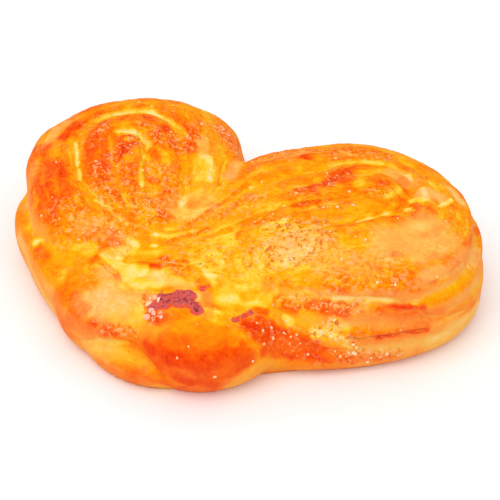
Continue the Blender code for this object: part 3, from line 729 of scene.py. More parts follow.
    (1.6, 0.8, 0.7, (-2, -39, 20), (1, -41, 20), (1, -39, 20)),
    # the heel: top, front, right side
    (3.6, 0.6, 0.85, (5, -42, 19), (11, -41, 19), (17, -39, 18)),
    (2, 0.62, 0.8, (4, -40, 20), (7, -39, 20)),
    (4.6, 0.82, 0.9, (0, -47, 12), (6, -49, 12), (11, -49, 13), (17, -47, 13), (20, -44, 14)),
    (2.6, 0.48, 0.8, (-6, -45, 13), (0, -45, 16)),
    (2.4, 0.72, 0.8, (1, -47, 14), (2, -48, 12)),
    (3.2, 0.86, 0.9, (20, -43, 15), (23, -41, 14), (25, -40, 11)),
    (2.4, 0.92, 0.9, (10, -49, 8), (15, -48, 7), (19, -45, 5)),
    (1.6, 0.95, 0.8, (0, -47, 13), (2, -48, 13)),
    (2, 0.95, 0.8, (8, -49, 13), (11, -49, 13)),
    (3, 0.94, 0.8, (13, -48, 13), (17, -47, 12), (19, -46, 10)),
    (1.2, 0.98, 0.8, (19, -45, 14), (19, -45, 13)),
    (1.4, 0.52, 0.8, (20, -38, 17), (21, -40, 16)),
    (1.8, 0.74, 0.8, (10, -45, 17), (12, -47, 15)),
    (1.6, 0.7, 0.7, (5, -46, 17), (8, -45, 17)),
    (3, 0.96, 0.95, (22, -32, 17), (25, -33, 16), (27, -31, 14)),
    (3.8, 0.9, 0.95, (27, -31, 14), (31, -28, 11), (35, -27, 10), (39, -25, 7)),
    (2, 0.88, 0.85, (27, -35, 11), (31, -30, 7), (36, -28, 7)),
    (1.4, 0.97, 0.8, (31, -30, 7), (32, -30, 7)),
    (2, 0.92, 0.8, (37, -26, 8), (40, -25, 7)),
    (1, 0.94, 0.85, (18.8, -34.2, 18.6), (20.2, -33.1, 18.3), (21.2, -30.2, 18.4), (22.4, -28, 18.1),
     (24.3, -27.3, 17.2)),
    (3, 0.86, 0.85, (17, -47, 10), (20, -45, 11), (23, -42, 12)),
    (2, 0.58, 0.9, (22, -41, 2), (25, -39, 5), (27, -34, 5), (33, -30, 4), (44, -24, 3)),
    (1.8, 0.74, 0.85, (41, -25, 7), (46, -23, 6), (51, -19, 5), (56, -16, 4)),
    # the thin end under it
    (3, 0.36, 0.9, (-16, -46, 7), (-10, -46, 8), (-5, -46, 8)),
    (1.8, 0.46, 0.85, (-5, -46, 8), (-2, -48, 8), (2, -49, 7)),
    (2, 0.38, 0.85, (-10, -49, 6), (-6, -49, 7), (-2, -50, 7)),
    (2, 0.62, 0.8, (0, -50, 7), (4, -50, 6), (6, -48, 3)),
    (1.6, 0.66, 0.85, (-13, -48, 4), (-8, -50, 3), (0, -50, 4), (5, -48, 3)),
    # right lobe: rim and left end
    (2, 0.7, 0.75, (-2, 19, 26), (-1, 23, 27), (2, 26, 27), (6, 29, 27)),
    (2.2, 0.6, 0.6, (1, 23, 27), (7, 25, 29), (11, 27, 29)),
    (2, 0.64, 0.7, (8, 33, 27), (20, 36, 28), (28, 39, 28), (35, 40, 27)),
    (1.2, 0.9, 0.85, (12, 27, 29), (14, 27, 28)),
    (1.6, 0.5, 0.7, (36, 40, 27), (41, 38, 27), (47, 36, 26)),
    (3, 0.46, 0.7, (4, 19, 28), (12, 21, 29), (19, 26, 28)),
    (3.4, 0.62, 0.6, (3, 9, 27), (6, 13, 28), (10, 16, 28)),
    (3.4, 0.5, 0.6, (9, 5, 28), (13, 9, 29), (14, 13, 29)),
    (2, 0.38, 0.8, (35, 12, 29), (37, 14, 28)),
    # its streaks and inner oval
    (1.8, 0.9, 0.85, (23, 17, 29), (24, 21, 29), (26, 24, 29)),
    (1.2, 0.84, 0.8, (20, 13, 30), (24, 16, 30)),
    (2.2, 0.76, 0.75, (27, 19, 30), (30, 16, 29), (30, 12, 29)),
    (1.6, 0.82, 0.8, (17, 10, 30), (21, 11, 30), (23, 10, 30)),
    (1.4, 0.3, 0.85, (31, 19, 29), (31, 24, 29), (33, 29, 28), (35, 33, 27)),
    (2.4, 0.6, 0.8, (34, 23, 29), (37, 23, 29), (35, 19, 29)),
    (0.9, 0.88, 0.8, (36.3, 23.5, 28.8), (37.5, 24.3, 28.6)),
    (0.7, 0.78, 0.7, (25, 25.5, 29), (28.7, 31.8, 27.2), (34.4, 33.3, 26.9)),
    (0.8, 0.3, 0.9, *PALE_LINE),
    (1, 0.06, 0.9, (41, 31.8, 27.3), (42.1, 30.4, 27.1)),
    (1.8, 0.44, 0.8, (36, 32, 27), (39, 31, 26), (40, 30, 26)),
    (0.8, 0.26, 0.9, (41.1, 25.7, 26.7), (40.4, 21.1, 27.4), (39.4, 17.2, 28.4)),
    (1.8, 0.68, 0.8, (44, 27, 26), (44, 23, 27), (43, 18, 27), (43, 16, 27)),
    (1.4, 0.78, 0.75, (47, 19, 27), (51, 18, 27), (54, 22, 26), (56, 22, 26)),
    (0.6, 0.76, 0.7, (34.5, 8.2, 28.2), (37.5, 11.5, 27.9), (41.4, 16.3, 27.8)),
    (0.8, 0.16, 0.9, (36.3, 4.1, 28.2), (37.9, 7.5, 27.3), (39.7, 10.4, 26.9), (41.5, 13.2, 26.6)),
    (1.4, 0.68, 0.7, (40, 5, 28), (42, 4, 28)),
    (1, 0.76, 0.7, (44.5, 10, 27.9), (46.7, 9.3, 27.7)),
    (1.4, 0.6, 0.7, (8, -1, 28), (13, -2, 28), (20, 0, 29), (26, 2, 30)),
    (1, 0.78, 0.75, (19, 2.7, 29.5), (21.6, 4.7, 29.6), (24.4, 6.9, 29.3), (26.5, 4.7, 29.4)),
    (0.5, 0.3, 0.8, (19.2, 5.7, 29.9), (21.6, 8.2, 30)),
    (1.2, 0.03, 0.95, (15, -8, 27), (16, -6, 28), (18, -5, 29), (19, -4, 29)),
    (0.6, 0.72, 0.8, (14.8, -8.3, 27.1), (18.1, -6.7, 27.6), (21.4, -4.4, 28)),
    (0.6, 0.66, 0.7, (21.4, -4.4, 28), (24.6, -2, 28.1), (28.8, 1.1, 27.9), (32.1, 4.3, 27.7)),
    # its bare patches
    (2.2, 0.38, 0.9, (48, 26, 27), (50, 27, 27), (52, 27, 26)),
    (0.9, 0.1, 0.9, (47.1, 27.5, 27.3), (48.1, 25.3, 27.3)),
    (1.1, 0.16, 0.9, (46, 21.6, 26.4), (49, 23.2, 27.2)),
    (0.9, 0.06, 0.95, (53.6, 23.4, 25.8), (54.4, 25.3, 25.8), (55, 28, 25.6)),
    (1.2, 0.06, 0.9, (46, 17, 27), (47, 15, 27)),
    (1.4, 0.3, 0.8, (53, 34, 25), (55, 32, 25), (57, 30, 24)),
    (0.7, 0.92, 0.8, (45.5, 34.2, 26.3), (46.1, 33.2, 26.5)),
    (5, 0.4, 0.85, (46, -1, 27), (51, 5, 27), (54, 12, 26), (58, 10, 25), (56, 3, 26)),
    (3.2, 0.46, 0.7, (37, -1, 29), (41, 2, 28), (45, 6, 28)),
    (2.4, 0.52, 0.7, (61, 21, 24), (63, 20, 23), (62, 14, 24)),
    (1.2, 0.78, 0.75, (63, 28, 18), (64, 19, 22), (64, 13, 23)),
    (1, 0.74, 0.6, (49.2, -2.3, 26.3), (50.7, -1.9, 25.9)),
    # its front
    (4.8, 0.2, 0.9, (22, -11, 28), (25, -7, 28), (29, -7, 29), (28, -12, 27), (24, -14, 27)),
    (3.6, 0.38, 0.7, (32, -7, 28), (37, -8, 28), (41, -8, 27)),
    (3.2, 0.36, 0.8, (29, -17, 26), (33, -16, 26), (36, -13, 27), (33, -19, 25)),
    (2.6, 0.42, 0.7, (45, -16, 24), (46, -17, 20), (47, -18, 18)),
    (2.6, 0.46, 0.7, (51, -6, 26), (54, -3, 25), (58, -1, 25)),
    (2, 0.3, 0.8, (21, -18, 26), (26, -18, 26)),
    (1.2, 0.72, 0.8, (36, -15, 26), (39, -14, 26)),
    (1.1, 0.84, 0.8, (23.9, -22, 24.2), (27.2, -21.3, 24.1)),
    (3.4, 0.52, 0.6, (42, -13, 26), (46, -11, 26), (50, -11, 25)),
    (1.8, 0.66, 0.7, (48, -8, 26), (50, -9, 26)),
    (2.6, 0.66, 0.7, (52, -7, 26), (57, -4, 25), (59, 2, 25), (62, 3, 24)),
    (2, 0.44, 0.8, (59, -6, 24), (60, -3, 24), (61, -1, 24)),
    (2.4, 0.56, 0.7, (64, 3, 23), (65, 9, 22), (66, 15, 19)),
    (1.8, 0.3, 0.85, (23, -24, 19), (28, -23, 21), (31, -22, 22), (35, -21, 22)),
    (1.4, 0.76, 0.85, (35, -20, 24), (38, -20, 23), (41, -19, 23), (45, -17, 21)),
    (0.5, 0.95, 0.85, (56.6, -9.8, 22.1), (59.4, -7.1, 22.3), (61.8, -3.7, 22.3)),
    # the folds under it
    (3.4, 0.46, 0.8, (62, -7, 18), (65, -1, 19), (67, 5, 18), (68, 10, 17)),
    (1, 0.12, 0.95, (32.7, -21.5, 22.5), (35.8, -20.9, 21.5), (39.9, -19.6, 21.2), (43.3, -18, 20.9),
     (46.9, -16.1, 20.6)),
    (0.8, 0.26, 0.9, (46.9, -16.1, 20.6), (51.4, -13.4, 19.8), (54.9, -11.1, 18.9), (58.2, -9.8, 18.4)),
    (1.9, 0.88, 0.85, (27, -24, 19), (29, -23, 19), (32, -22, 19), (34, -21, 19), (38, -21, 19)),
    (1.6, 0.68, 0.7, (40, -20, 19), (43, -19, 19), (45, -17, 19)),
    (1.3, 0.86, 0.8, (41, -21, 18), (43, -20, 18)),
    (1.4, 0.94, 0.95, (51, -16, 18), (54, -13, 18), (57, -12, 18), (60, -10, 17)),
    (0.8, 0.72, 0.8, (60.6, -9.7, 14.8), (65.2, -5.2, 13.3), (68.6, 0.5, 11.8), (69.7, 6.3, 10.9)),
    (2.6, 0.4, 0.8, (31, -25, 16), (35, -24, 15), (39, -23, 14)),
    (1.4, 0.08, 0.95, (37, -25, 13), (40, -25, 13), (43, -24, 12), (46, -23, 10)),
    (1.2, 0.12, 0.85, (29, -26, 16), (30, -26, 15)),
    (1.4, 0.26, 0.8, (41, -22, 16), (44, -21, 14)),
    (2, 0.64, 0.8, (46, -20, 13), (51, -19, 13), (55, -15, 13), (60, -11, 13)),
    (1.7, 0.8, 0.8, (53, -15, 16), (56, -13, 15), (60, -10, 15), (64, -6, 15)),
    (2, 0.62, 0.8, (47, -19, 16), (51, -16, 15), (57, -13, 15)),
    (1.6, 0.76, 0.8, (54, -15, 16), (58, -12, 15), (62, -8, 14)),
    (1.8, 0.38, 0.85, (48, -21, 10), (52, -18, 8), (57, -15, 9), (63, -8, 7)),
    (2, 0.3, 0.9, (66, -5, 10), (68, 4, 7), (69, 9, 7)),
    (1, 0.64, 0.8, (46, -22.4, 10.7), (51.1, -19.4, 10.4), (56.5, -15.8, 10.8)),
    # dark red along the slit at the right: painted shade in the slit
    (0.5, 1.1, 0.95, (45.2, -22.6, 12.2), (47.7, -21.4, 11.5), (50.6, -19.6, 11.7),
     (54.3, -17.2, 12.1)),
    (0.4, 1, 0.9, (54.3, -17.2, 12.1), (58.5, -14.1, 12.2), (62.3, -10.8, 11.6)),
    # patches between them
    (3.2, 0.34, 0.85, (5, -21, 23), (6, -19, 24), (7, -16, 25)),
    (3.4, 0.38, 0.8, (10, -17, 25), (12, -14, 26), (13, -11, 26)),
    (3, 0.36, 0.8, (17, -23, 23), (18, -21, 24), (18, -19, 25)),
    (3.2, 0.32, 0.8, (26, -20, 25), (29, -17, 25), (35, -18, 25)),
    (2.6, 0.34, 0.8, (6, -3, 27), (9, -1, 28), (13, 2, 29)),
    (2.4, 0.36, 0.8, (-1, 3, 26), (1, 7, 27), (2, 10, 27)),
    (1.8, 0.34, 0.8, (2, -27, 23), (5, -27, 23)),
    (1.8, 0.56, 0.8, (8, -29, 23), (10, -33, 22)),
    (1.8, 0.26, 0.85, (-15, -36, 19), (-11, -34, 20), (-8, -33, 21)),
    (2.6, 0.44, 0.8, (-37, -34, 13), (-33, -36, 14)),
    (2.4, 0.4, 0.8, (-19, -10, 26), (-16, -13, 24)),
    (2, 0.32, 0.85, (13, -27, 22), (15, -30, 21)),
    (2.4, 0.4, 0.8, (17, -32, 20), (20, -30, 19)),
    (1.4, 0.34, 0.85, (27, -24, 19), (30, -23, 20), (33, -22, 22)),
    (1.6, 0.5, 0.8, (-1, -33, 22), (3, -34, 22)),
    (1.6, 0.72, 0.85, (-47, 18, 30), (-42, 14, 30), (-37, 8, 29)),
    (2.4, 0.78, 0.85, (-58, 3, 26), (-52, -6, 26), (-46, -15, 24)),
    (2, 0.7, 0.8, (-17, -6, 26), (-13, -5, 26)),
    (2, 0.18, 0.85, (-10, -3, 25), (-7, -2, 25)),
    (2.4, 0.44, 0.85, (26, 2, 29), (30, 5, 29)),
    (2.4, 0.42, 0.8, (33, 7, 28), (39, 13, 28)),
    (2.4, 0.4, 0.8, (39, -5, 27), (43, -3, 27)),
    (2.4, 0.4, 0.8, (50, -7, 26), (54, -3, 25), (59, 0, 25)),
    (3, 0.8, 0.8, (6, -48, 3), (12, -47, 2), (20, -44, 4)),
    (2.6, 0.8, 0.8, (20, -45, 9), (23, -42, 11), (25, -39, 12)),
    (1.8, 0.62, 0.7, (17, -43, 16), (19, -41, 16)),
    (2.4, 0.44, 0.8, (36, 40, 27), (41, 39, 27), (46, 37, 26)),
    (1.4, 0.9, 0.8, (-3, -38, 20), (-2, -40, 19), (0, -42, 19), (2, -42, 19)),
    (1.4, 0.32, 0.8, (-26, 14, 30), (-21, 7, 30)),
    (1.8, 0.4, 0.8, (-11, 22, 28), (-6, 11, 27)),
    (2.4, 0.5, 0.8, (-56, -12, 15), (-49, -19, 18)),
    (3, 0.56, 0.8, (-36, -25, 19), (-33, -28, 17), (-35, -30, 16)),
    (2.8, 0.64, 0.8, (-32, -38, 10), (-29, -41, 8), (-27, -43, 5)),
    (2.8, 0.28, 0.85, (64, -7, 5), (67, 0, 3), (69, 5, 4), (69, 11, 5)),
    (3, 0.42, 0.7, (40, -5, 27), (44, -12, 26), (45, -17, 23)),
    (1.8, 0.44, 0.8, (-55, 19, 29), (-53, 24, 29), (-49, 29, 29), (-43, 34, 30), (-36, 36, 30)),
    (1.6, 0.6, 0.8, (-13, -12, 24), (-8, -10, 24)),
    (1.8, 0.62, 0.8, (-8, -2, 25), (-4, 2, 25)),
    (1.2, 0.06, 0.85, (4, -21, 23), (7, -25, 23), (9, -26, 23)),
    (1.4, 0.14, 0.8, (14, -31, 21), (17, -29, 20), (20, -27, 19)),
    (2.4, 0.16, 0.8, (16, -24, 22), (17, -23, 23), (19, -21, 24)),
    (1.4, 0.1, 0.8, (18, -26, 20), (20, -25, 19)),
    (2, 0.2, 0.8, (3, -13, 25), (5, -11, 26), (8, -14, 25)),
    (1.6, 0.14, 0.8, (5, -19, 24), (8, -20, 24)),
    (1.2, 0.72, 0.8, (8, -32, 23), (10, -31, 23)),
    (1, 0.66, 0.7, (9.9, -33.9, 21.3), (11.8, -33.9, 20.9)),
    (2.6, 0.84, 0.9, (18, -46, 6), (22, -44, 9), (24, -40, 12)),
    (1.3, 0.54, 0.8, (18, -27, 20), (20, -25, 20)),
    (1.2, 0.6, 0.75, (27, -22, 23), (31, -21, 24)),
    (2.2, 0.68, 0.85, (-8, -45, 13), (-5, -45, 12), (-2, -46, 11)),
    (2.6, 0.42, 0.8, (21, -42, 3), (24, -40, 6), (27, -35, 7)),
    (1.8, 0.42, 0.75, (32, 14, 28), (36, 14, 28), (41, 16, 28)),
    (2.4, 0.38, 0.75, (25, -4, 28), (30, -2, 29)),
    (1.6, 0.42, 0.75, (50, -11, 25), (51, -13, 23)),
    (2, 0.62, 0.75, (-18, 12, 28), (-14, 4, 27)),
    (1.6, 0.74, 0.75, (-36, 5, 29), (-32, -1, 28)),
    (1.6, 0.66, 0.75, (-38, 21, 31), (-34, 22, 31)),
    (3.2, 0.76, 0.85, (-30, -40, 12), (-28, -42, 9), (-25, -44, 7)),
    (1.6, 0.64, 0.75, (-24, -42, 15), (-20, -43, 16)),
    (2.2, 0.62, 0.75, (54, -10, 24), (58, -7, 23)),
    (1.6, 0.6, 0.7, (56, -3, 25), (58, -6, 24)),
    (1.4, 0.34, 0.75, (40, -25, 11), (43, -24, 11)),
    (1.4, 0.5, 0.75, (46, -22, 11), (50, -20, 11)),
    (1.6, 0.74, 0.8, (47, -22, 5), (50, -20, 6)),
    (1.8, 0.38, 0.8, (15, -37, 19), (18, -34, 19)),
    (1.8, 0.62, 0.75, (-2, -50, 6), (2, -50, 5)),
    (1.2, 0.38, 0.8, (-36, 13, 30), (-32, 15, 29)),
    (1.8, 0.36, 0.7, (-14, -24, 21), (-10, -23, 22)),
    (1.4, 0.18, 0.85, (-12, -34, 20), (-9, -34, 20)),
    (2.2, 0.34, 0.7, (-7, -30, 22), (-2, -31, 22), (3, -32, 23)),
    (1.8, 0.42, 0.75, (6, -5, 27), (11, -3, 28)),
    (1, 0.64, 0.75, (0.7, -13.9, 24.7), (3.4, -12.3, 25.4), (6.1, -9.4, 25.9)),
    (1.4, 0.44, 0.7, (34, -21, 23), (39, -20, 23)),
    (1.8, 0.6, 0.75, (40, 11, 27), (44, 9, 28)),
    (1.6, 0.62, 0.75, (47, 14, 27), (51, 16, 27)),
    (1.6, 0.76, 0.8, (40, 30, 26), (44, 26, 26)),
    (1.2, 0.58, 0.7, (34, 33, 27), (37, 32, 26)),
    (1.2, 0.6, 0.7, (55, 23, 26), (57, 26, 25)),
    (1.6, 0.54, 0.7, (34, -6, 28), (37, -5, 28)),
    (1.8, 0.68, 0.7, (24, 13, 30), (29, 12, 29)),
    (2.4, 0.62, 0.7, (-1, 18, 27), (2, 21, 28), (6, 21, 29)),
    (1.6, 0.64, 0.75, (-10, 23, 27), (-6, 17, 27), (-4, 12, 26)),
    (1.8, 0.14, 0.8, (-13, 13, 29), (-10, 7, 28)),
    (1.8, 0.42, 0.7, (-4, 3, 25), (-1, 2, 26)),
    (1.4, 0.76, 0.8, (-28, 11, 29), (-24, 8, 30)),
    (1.6, 0.7, 0.75, (-32, -8, 28), (-30, -8, 27)),
    (1.6, 0.74, 0.7, (-50, 12, 28), (-51, 18, 28)),
    (1.4, 0.66, 0.7, (-32, -14, 25), (-26, -15, 25)),
    (1.8, 0.64, 0.7, (-19, -16, 24), (-14, -18, 22)),
    (0.8, 0.32, 0.7, (-27.7, -11.9, 26.2), (-23, -12.8, 25.2)),
    (1.2, 0.42, 0.75, (2, -20, 23), (5, -21, 23), (8, -24, 23)),
    (1.6, 0.5, 0.7, (14, -24, 22), (15, -24, 23)),
    (1.8, 0.5, 0.75, (-5, -36, 20), (-2, -35, 21), (4, -32, 23)),
    (1.4, 0.44, 0.7, (-10, -38, 19), (-7, -39, 19)),
    (1.6, 0.2, 0.85, (5, -34, 22), (7, -34, 22)),
    (2, 0.64, 0.7, (-28, -34, 17), (-23, -36, 18)),
    (2, 0.6, 0.7, (-46, -27, 12), (-42, -30, 12)),
    (1.8, 0.34, 0.9, (3, -49, 2), (6, -46, 0)),
    (1.6, 0.8, 0.8, (28, -24, 18), (30, -24, 18)),
    (2.6, 0.3, 0.75, (25, -7, 28), (27, -3, 28), (30, -4, 29)),
    (1.3, 0.22, 0.8, (15, -7, 28), (19, -6, 28)),
    (2, 0.32, 0.7, (12, -16, 26), (16, -17, 26)),
    (2, 0.36, 0.75, (35, 12, 29), (38, 14, 28)),
    (1, 0.32, 0.75, (51.3, 22.3, 26.8), (53.3, 20.8, 26.1)),
    (1.2, 0.32, 0.7, (45, 13, 27), (47, 13, 28)),
    (1.4, 0.42, 0.7, (56, 22, 26), (58, 22, 25)),
    (2, 0.76, 0.7, (5, -46, 17), (8, -46, 17)),
    (2, 0.76, 0.7, (11, -45, 17), (14, -45, 16)),
    (1.6, 0.68, 0.7, (-9, -50, 5), (-5, -50, 5)),
    (1.6, 0.72, 0.75, (-1, -51, 5), (2, -50, 4)),
    (1.6, 0.74, 0.75, (-58, 19, 28), (-56, 23, 29), (-54, 26, 29)),
    (0.9, 0.52, 0.4, (-45.6, 27.5, 29.1), (-42.5, 29.2, 29.3), (-38.9, 30, 29.4)),
    (1.2, 0.72, 0.75, (-27, 14, 30), (-24, 13, 30)),
    (1.2, 0.66, 0.7, (-28, -6, 27), (-24, -9, 26)),
    (2, 0.62, 0.7, (-60, 1, 24), (-57, -5, 24)),
    (1.8, 0.64, 0.7, (-59, -9, 14), (-54, -15, 15)),
    (1.6, 0.62, 0.7, (-46, -17, 23), (-43, -21, 22)),
    (2.4, 0.72, 0.75, (-24, -41, 15), (-20, -44, 15)),
    (2, 0.68, 0.7, (-20, -46, 11), (-17, -46, 11)),
    (1, 0.14, 0.85, (-35.5, 17.1, 29.4), (-32.8, 16.2, 29.3), (-29.3, 13.2, 29.6)),
    (0.8, 0.36, 0.7, (-40.8, 18.8, 30.7), (-39.2, 20.6, 30.9), (-37, 21.4, 30.9)),
    # seams: darker along the creases between the folds, painted shade in them
    (0.7, 0.76, 0.75, *LOBE_SEAM), (0.5, 0.76, 0.8, *SEAM_END),
    (0.5, 0.9, 0.7, (-5.7, -44.8, 10.1), (-1.7, -46.5, 10.2), (2.1, -48.4, 9.1), (5.2, -49.2, 7.6),
     (8.1, -48.9, 5.4)),
)
LEAN = (                   # dough that no egg reached: half width, how much, then the path
    (2.4, 0.6, (-59, 9, 27), (-59, 14, 28), (-58, 19, 28)),
    (2.2, 0.7, (-59, -2, 24), (-56, -9, 22), (-57, -9, 15)),
    (2.6, 1, (-54, -19, 11), (-49, -24, 9), (-42, -30, 8), (-38, -33, 5), (-30, -40, 6)),
    (2.6, 0.4, (-15, 31, 28), (-11, 28, 27), (-7, 25, 26)),
    (1.6, 0.5, (-17, 22, 30), (-13, 15, 29)),
    (4, 0.4, (-12, -5, 25), (-9, -4, 25), (-6, -1, 25)),
    (2, 0.8, (-5, 19, 26), (-4, 13, 26)),
    (3, 0.35, (-33, -20, 23), (-27, -19, 24), (-20, -22, 22)),
    (2.6, 0.7, (-20, -31, 19), (-17, -34, 19)),
    (5, 0.95, (-19, -42, 17), (-14, -40, 18), (-8, -40, 18), (-1, -44, 17)),
    (3, 0.7, (3, -44, 18), (1, -45, 16), (-4, -45, 14)),
    (1.6, 0.6, (8, -34, 22), (10, -33, 22), (12, -37, 20)),
    (1.8, 0.5, (-7, -30, 22), (-1, -31, 22), (4, -32, 23)),
    (1.6, 0.95, (25, -38, 3), (26, -36, 4), (27, -31, 3), (33, -30, 4), (44, -24, 3)),
    (3, 0.55, (-16, -46, 7), (-10, -46, 8), (-5, -46, 8), (-1, -48, 8)),
    (2.2, 0.35, (1, 24, 27), (7, 26, 28), (10, 29, 28)),
    (1.8, 0.6, (36, 32, 27), (39, 31, 26), (44, 29, 27)),
    (2.4, 0.9, (48, 26, 27), (50, 27, 27), (52, 27, 26)),
    (1.6, 0.8, (53, 34, 25), (55, 32, 25), (57, 30, 24)),
    (5.4, 0.7, (46, -1, 27), (51, 5, 27), (54, 12, 26), (58, 10, 25), (56, 3, 26)),
    (4.2, 0.45, (22, -11, 28), (26, -8, 28), (29, -8, 28), (27, -12, 27), (24, -14, 27)),
    (4, 0.3, (35, -13, 27), (39, -11, 27), (44, -9, 26)),
    (2.2, 0.85, (59, -6, 24), (60, -3, 24), (61, -1, 24)),
    (2.8, 0.9, (64, 1, 24), (65, 9, 22), (66, 16, 18)),
    (1.2, 0.6, (40, -20, 21), (43, -18, 21), (47, -16, 21), (51, -13, 20), (55, -11, 19)),
    (1.8, 0.5, (40, -20, 19), (43, -19, 19), (45, -17, 19)),
    (2, 0.55, (48, -21, 10), (52, -18, 8), (57, -15, 9), (63, -8, 7)),
    (2.2, 0.8, (66, -5, 10), (68, 4, 7), (69, 9, 7)),
    (2.2, 0.5, (47, -19, 17), (51, -16, 15), (64, -8, 13)),
    (2, 1, (22, -41, 2), (25, -39, 5), (27, -35, 6), (31, -31, 6)),
    (4.6, 0.95, (-19, -42, 17), (-12, -42, 17), (-5, -42, 17)),
)
GLAZED = (                 # egg wash that ran together: half width, how much, then the path
    (9.0, 1.0, (-2, -46, 15), (13, -44, 16), (26, -35, 14), (38, -28, 9)),
    (5.0, 1.0, (6, -50, 8), (13, -48, 5), (16, -46, 5)),
    (2.4, 1.0, (18, -42, 9), (22, -39, 10), (24, -36, 10)),
    (6.0, 0.6, (-52, -6, 26), (-45, -16, 25)),
)
SUGARY = (                 # sugar on the crust: half width, how much, then the path
    (3, 1, (-36, 6, 29), (-35, 9, 30), (-34, 13, 30)),
    (2.6, 0.8, (-39, -1, 28), (-34, -4, 29), (-34, -7, 28), (-31, -8, 28)),
    (2.6, 0.6, (-31, 2, 29), (-28, -3, 28), (-24, -6, 28)),
    (1.4, 0.8, (-45, 13, 30), (-45, 17, 31)),
    (1.8, 0.7, (-35, 20, 31), (-32, 20, 31)),
    (3.4, 0.8, (-28, 17, 31), (-24, 18, 30), (-20, 18, 29), (-20, 24, 30)),
    (4, 0.6, (-23, 4, 29), (-18, 3, 29), (-15, -2, 27)),
    (4, 0.8, (-29, -10, 27), (-23, -9, 26), (-18, -9, 26), (-15, -10, 25)),
    (4.4, 0.7, (-39, -18, 24), (-33, -20, 23), (-27, -18, 24), (-20, -18, 23)),
    (3, 0.5, (-37, -24, 20), (-28, -23, 22), (-19, -22, 21)),
    (2, 0.9, (-6, -24, 23), (-2, -25, 23), (1, -27, 23)),
    (3, 0.8, (-16, 32, 28), (-11, 28, 27), (-7, 25, 26)),
    (2, 0.5, (-21, 28, 30), (-18, 31, 29)),
    (4.4, 0.55, (-4, -10, 24), (0, -5, 26), (4, 0, 27), (6, 3, 28)),
    (4, 0.45, (-4, -18, 23), (2, -16, 24), (9, -20, 24), (15, -19, 26)),
    (2.4, 0.6, (-2, 23, 26), (4, 28, 27), (16, 33, 28), (32, 38, 28)),
    (2.4, 0.6, (16, 8, 30), (21, 10, 30), (24, 16, 30)),
    (2, 0.8, (23, 17, 30), (25, 23, 29)),
    (2, 0.5, (21, 4, 29), (25, 6, 29), (30, 8, 29)),
    (1.6, 0.7, (35, 18, 29), (38, 21, 28)),
    (4.6, 1, (19, -11, 28), (23, -6, 28), (29, -7, 29), (27, -11, 27), (23, -16, 27)),
    (2, 0.8, (13, -5, 27), (23, -3, 28), (29, 1, 28)),
    (4.4, 0.55, (33, -14, 27), (39, -11, 27), (46, -9, 26), (51, -7, 26)),
    (3.2, 0.55, (38, -18, 25), (43, -16, 25), (48, -13, 25), (53, -11, 24)),
    (2, 0.9, (26, -24, 18), (31, -22, 19), (38, -21, 19)),
    (1.8, 0.9, (40, -21, 19), (43, -19, 19), (45, -17, 19)),
    (2, 1, (37, -24, 13), (40, -22, 15), (43, -23, 13), (46, -23, 11)),
    (2.2, 0.8, (43, -23, 7), (47, -21, 7), (52, -19, 5), (56, -16, 5)),
    (4, 0.25, (22, -33, 17), (28, -30, 13), (35, -27, 10), (40, -25, 7)),
    (1.6, 0.7, (-15, -46, 14), (-11, -46, 13), (-9, -45, 14), (-5, -45, 14)),
    (1.8, 0.9, (-4, -37, 20), (-2, -40, 19), (0, -42, 18)),
)
# How brown: 0 cream, 0.2 pale yellow, 0.4 golden, 0.6 orange, 0.8 deep orange, 1 red.
BAKED = 0.53               # of the whole crust, before its smears
BAKED_LUMPS = ((0.10, 7.0, 41), (0.10, 3.0, 42))
SIDE_BROWN = (0.46, 0.01)  # of the sides at the tray, and more for each millimetre up
TORN_BROWN = 0.16          # of the open tear
STREAK_BROWN = 0.08        # more on a streak's crest
BROAD_BROWN = (0.10, -0.12, 0.10)  # more for each millimetre of a broad ridge, its least and most
FINE_BROWN = (0.5, -0.1, 0.1)      # the same of a fine ridge
FINE_SMOOTHING, BROAD_SMOOTHING = (0.7, 8), (0.8, 60)  # weight and rounds that tell those ridges
LEAN_SIDES = 0.75          # how far the sides are bare dough
GLAZED_OVER = 0.8          # how much of the bare dough the glaze hides
CRUMBLY_WIDTH, CRUMBLY_TOP = 8.0, 0.4      # of the crumbly dough, and how crumbly the rest of the top is
THIN_SUGAR = (0.25, 5.5, 51)   # how much sugar the rest of the top has, spacing and draw of its patches


def toward(base, value, share):
    """A share of the way from the base to a value: base + (value - base) share."""
    return base + (value - base) * share


def put_field(mesh, name, values):
    """A number at each point of the mesh, for its material to read."""
    field = mesh.attributes.new(name, "FLOAT", "POINT")
    field.data.foreach_set("value", np.clip(values, 0.0, 1.0).astype(np.float32))


points = get_points(bun_mesh)
count = len(points)
edges = read_rows(bun_mesh.edges, "vertices", 2, np.int32)
normals, rough, up, lobes, streak = crust(bun_mesh, points)
z = points[:, 2]
fine = smoothed(points, edges, np.full(count, FINE_SMOOTHING[0]), FINE_SMOOTHING[1])
broad = smoothed(fine, edges, np.full(count, BROAD_SMOOTHING[0]), BROAD_SMOOTHING[1])
fine_ridge = np.sum((points - fine) * normals, axis=-1)
broad_ridge = np.sum((fine - broad) * normals, axis=-1)

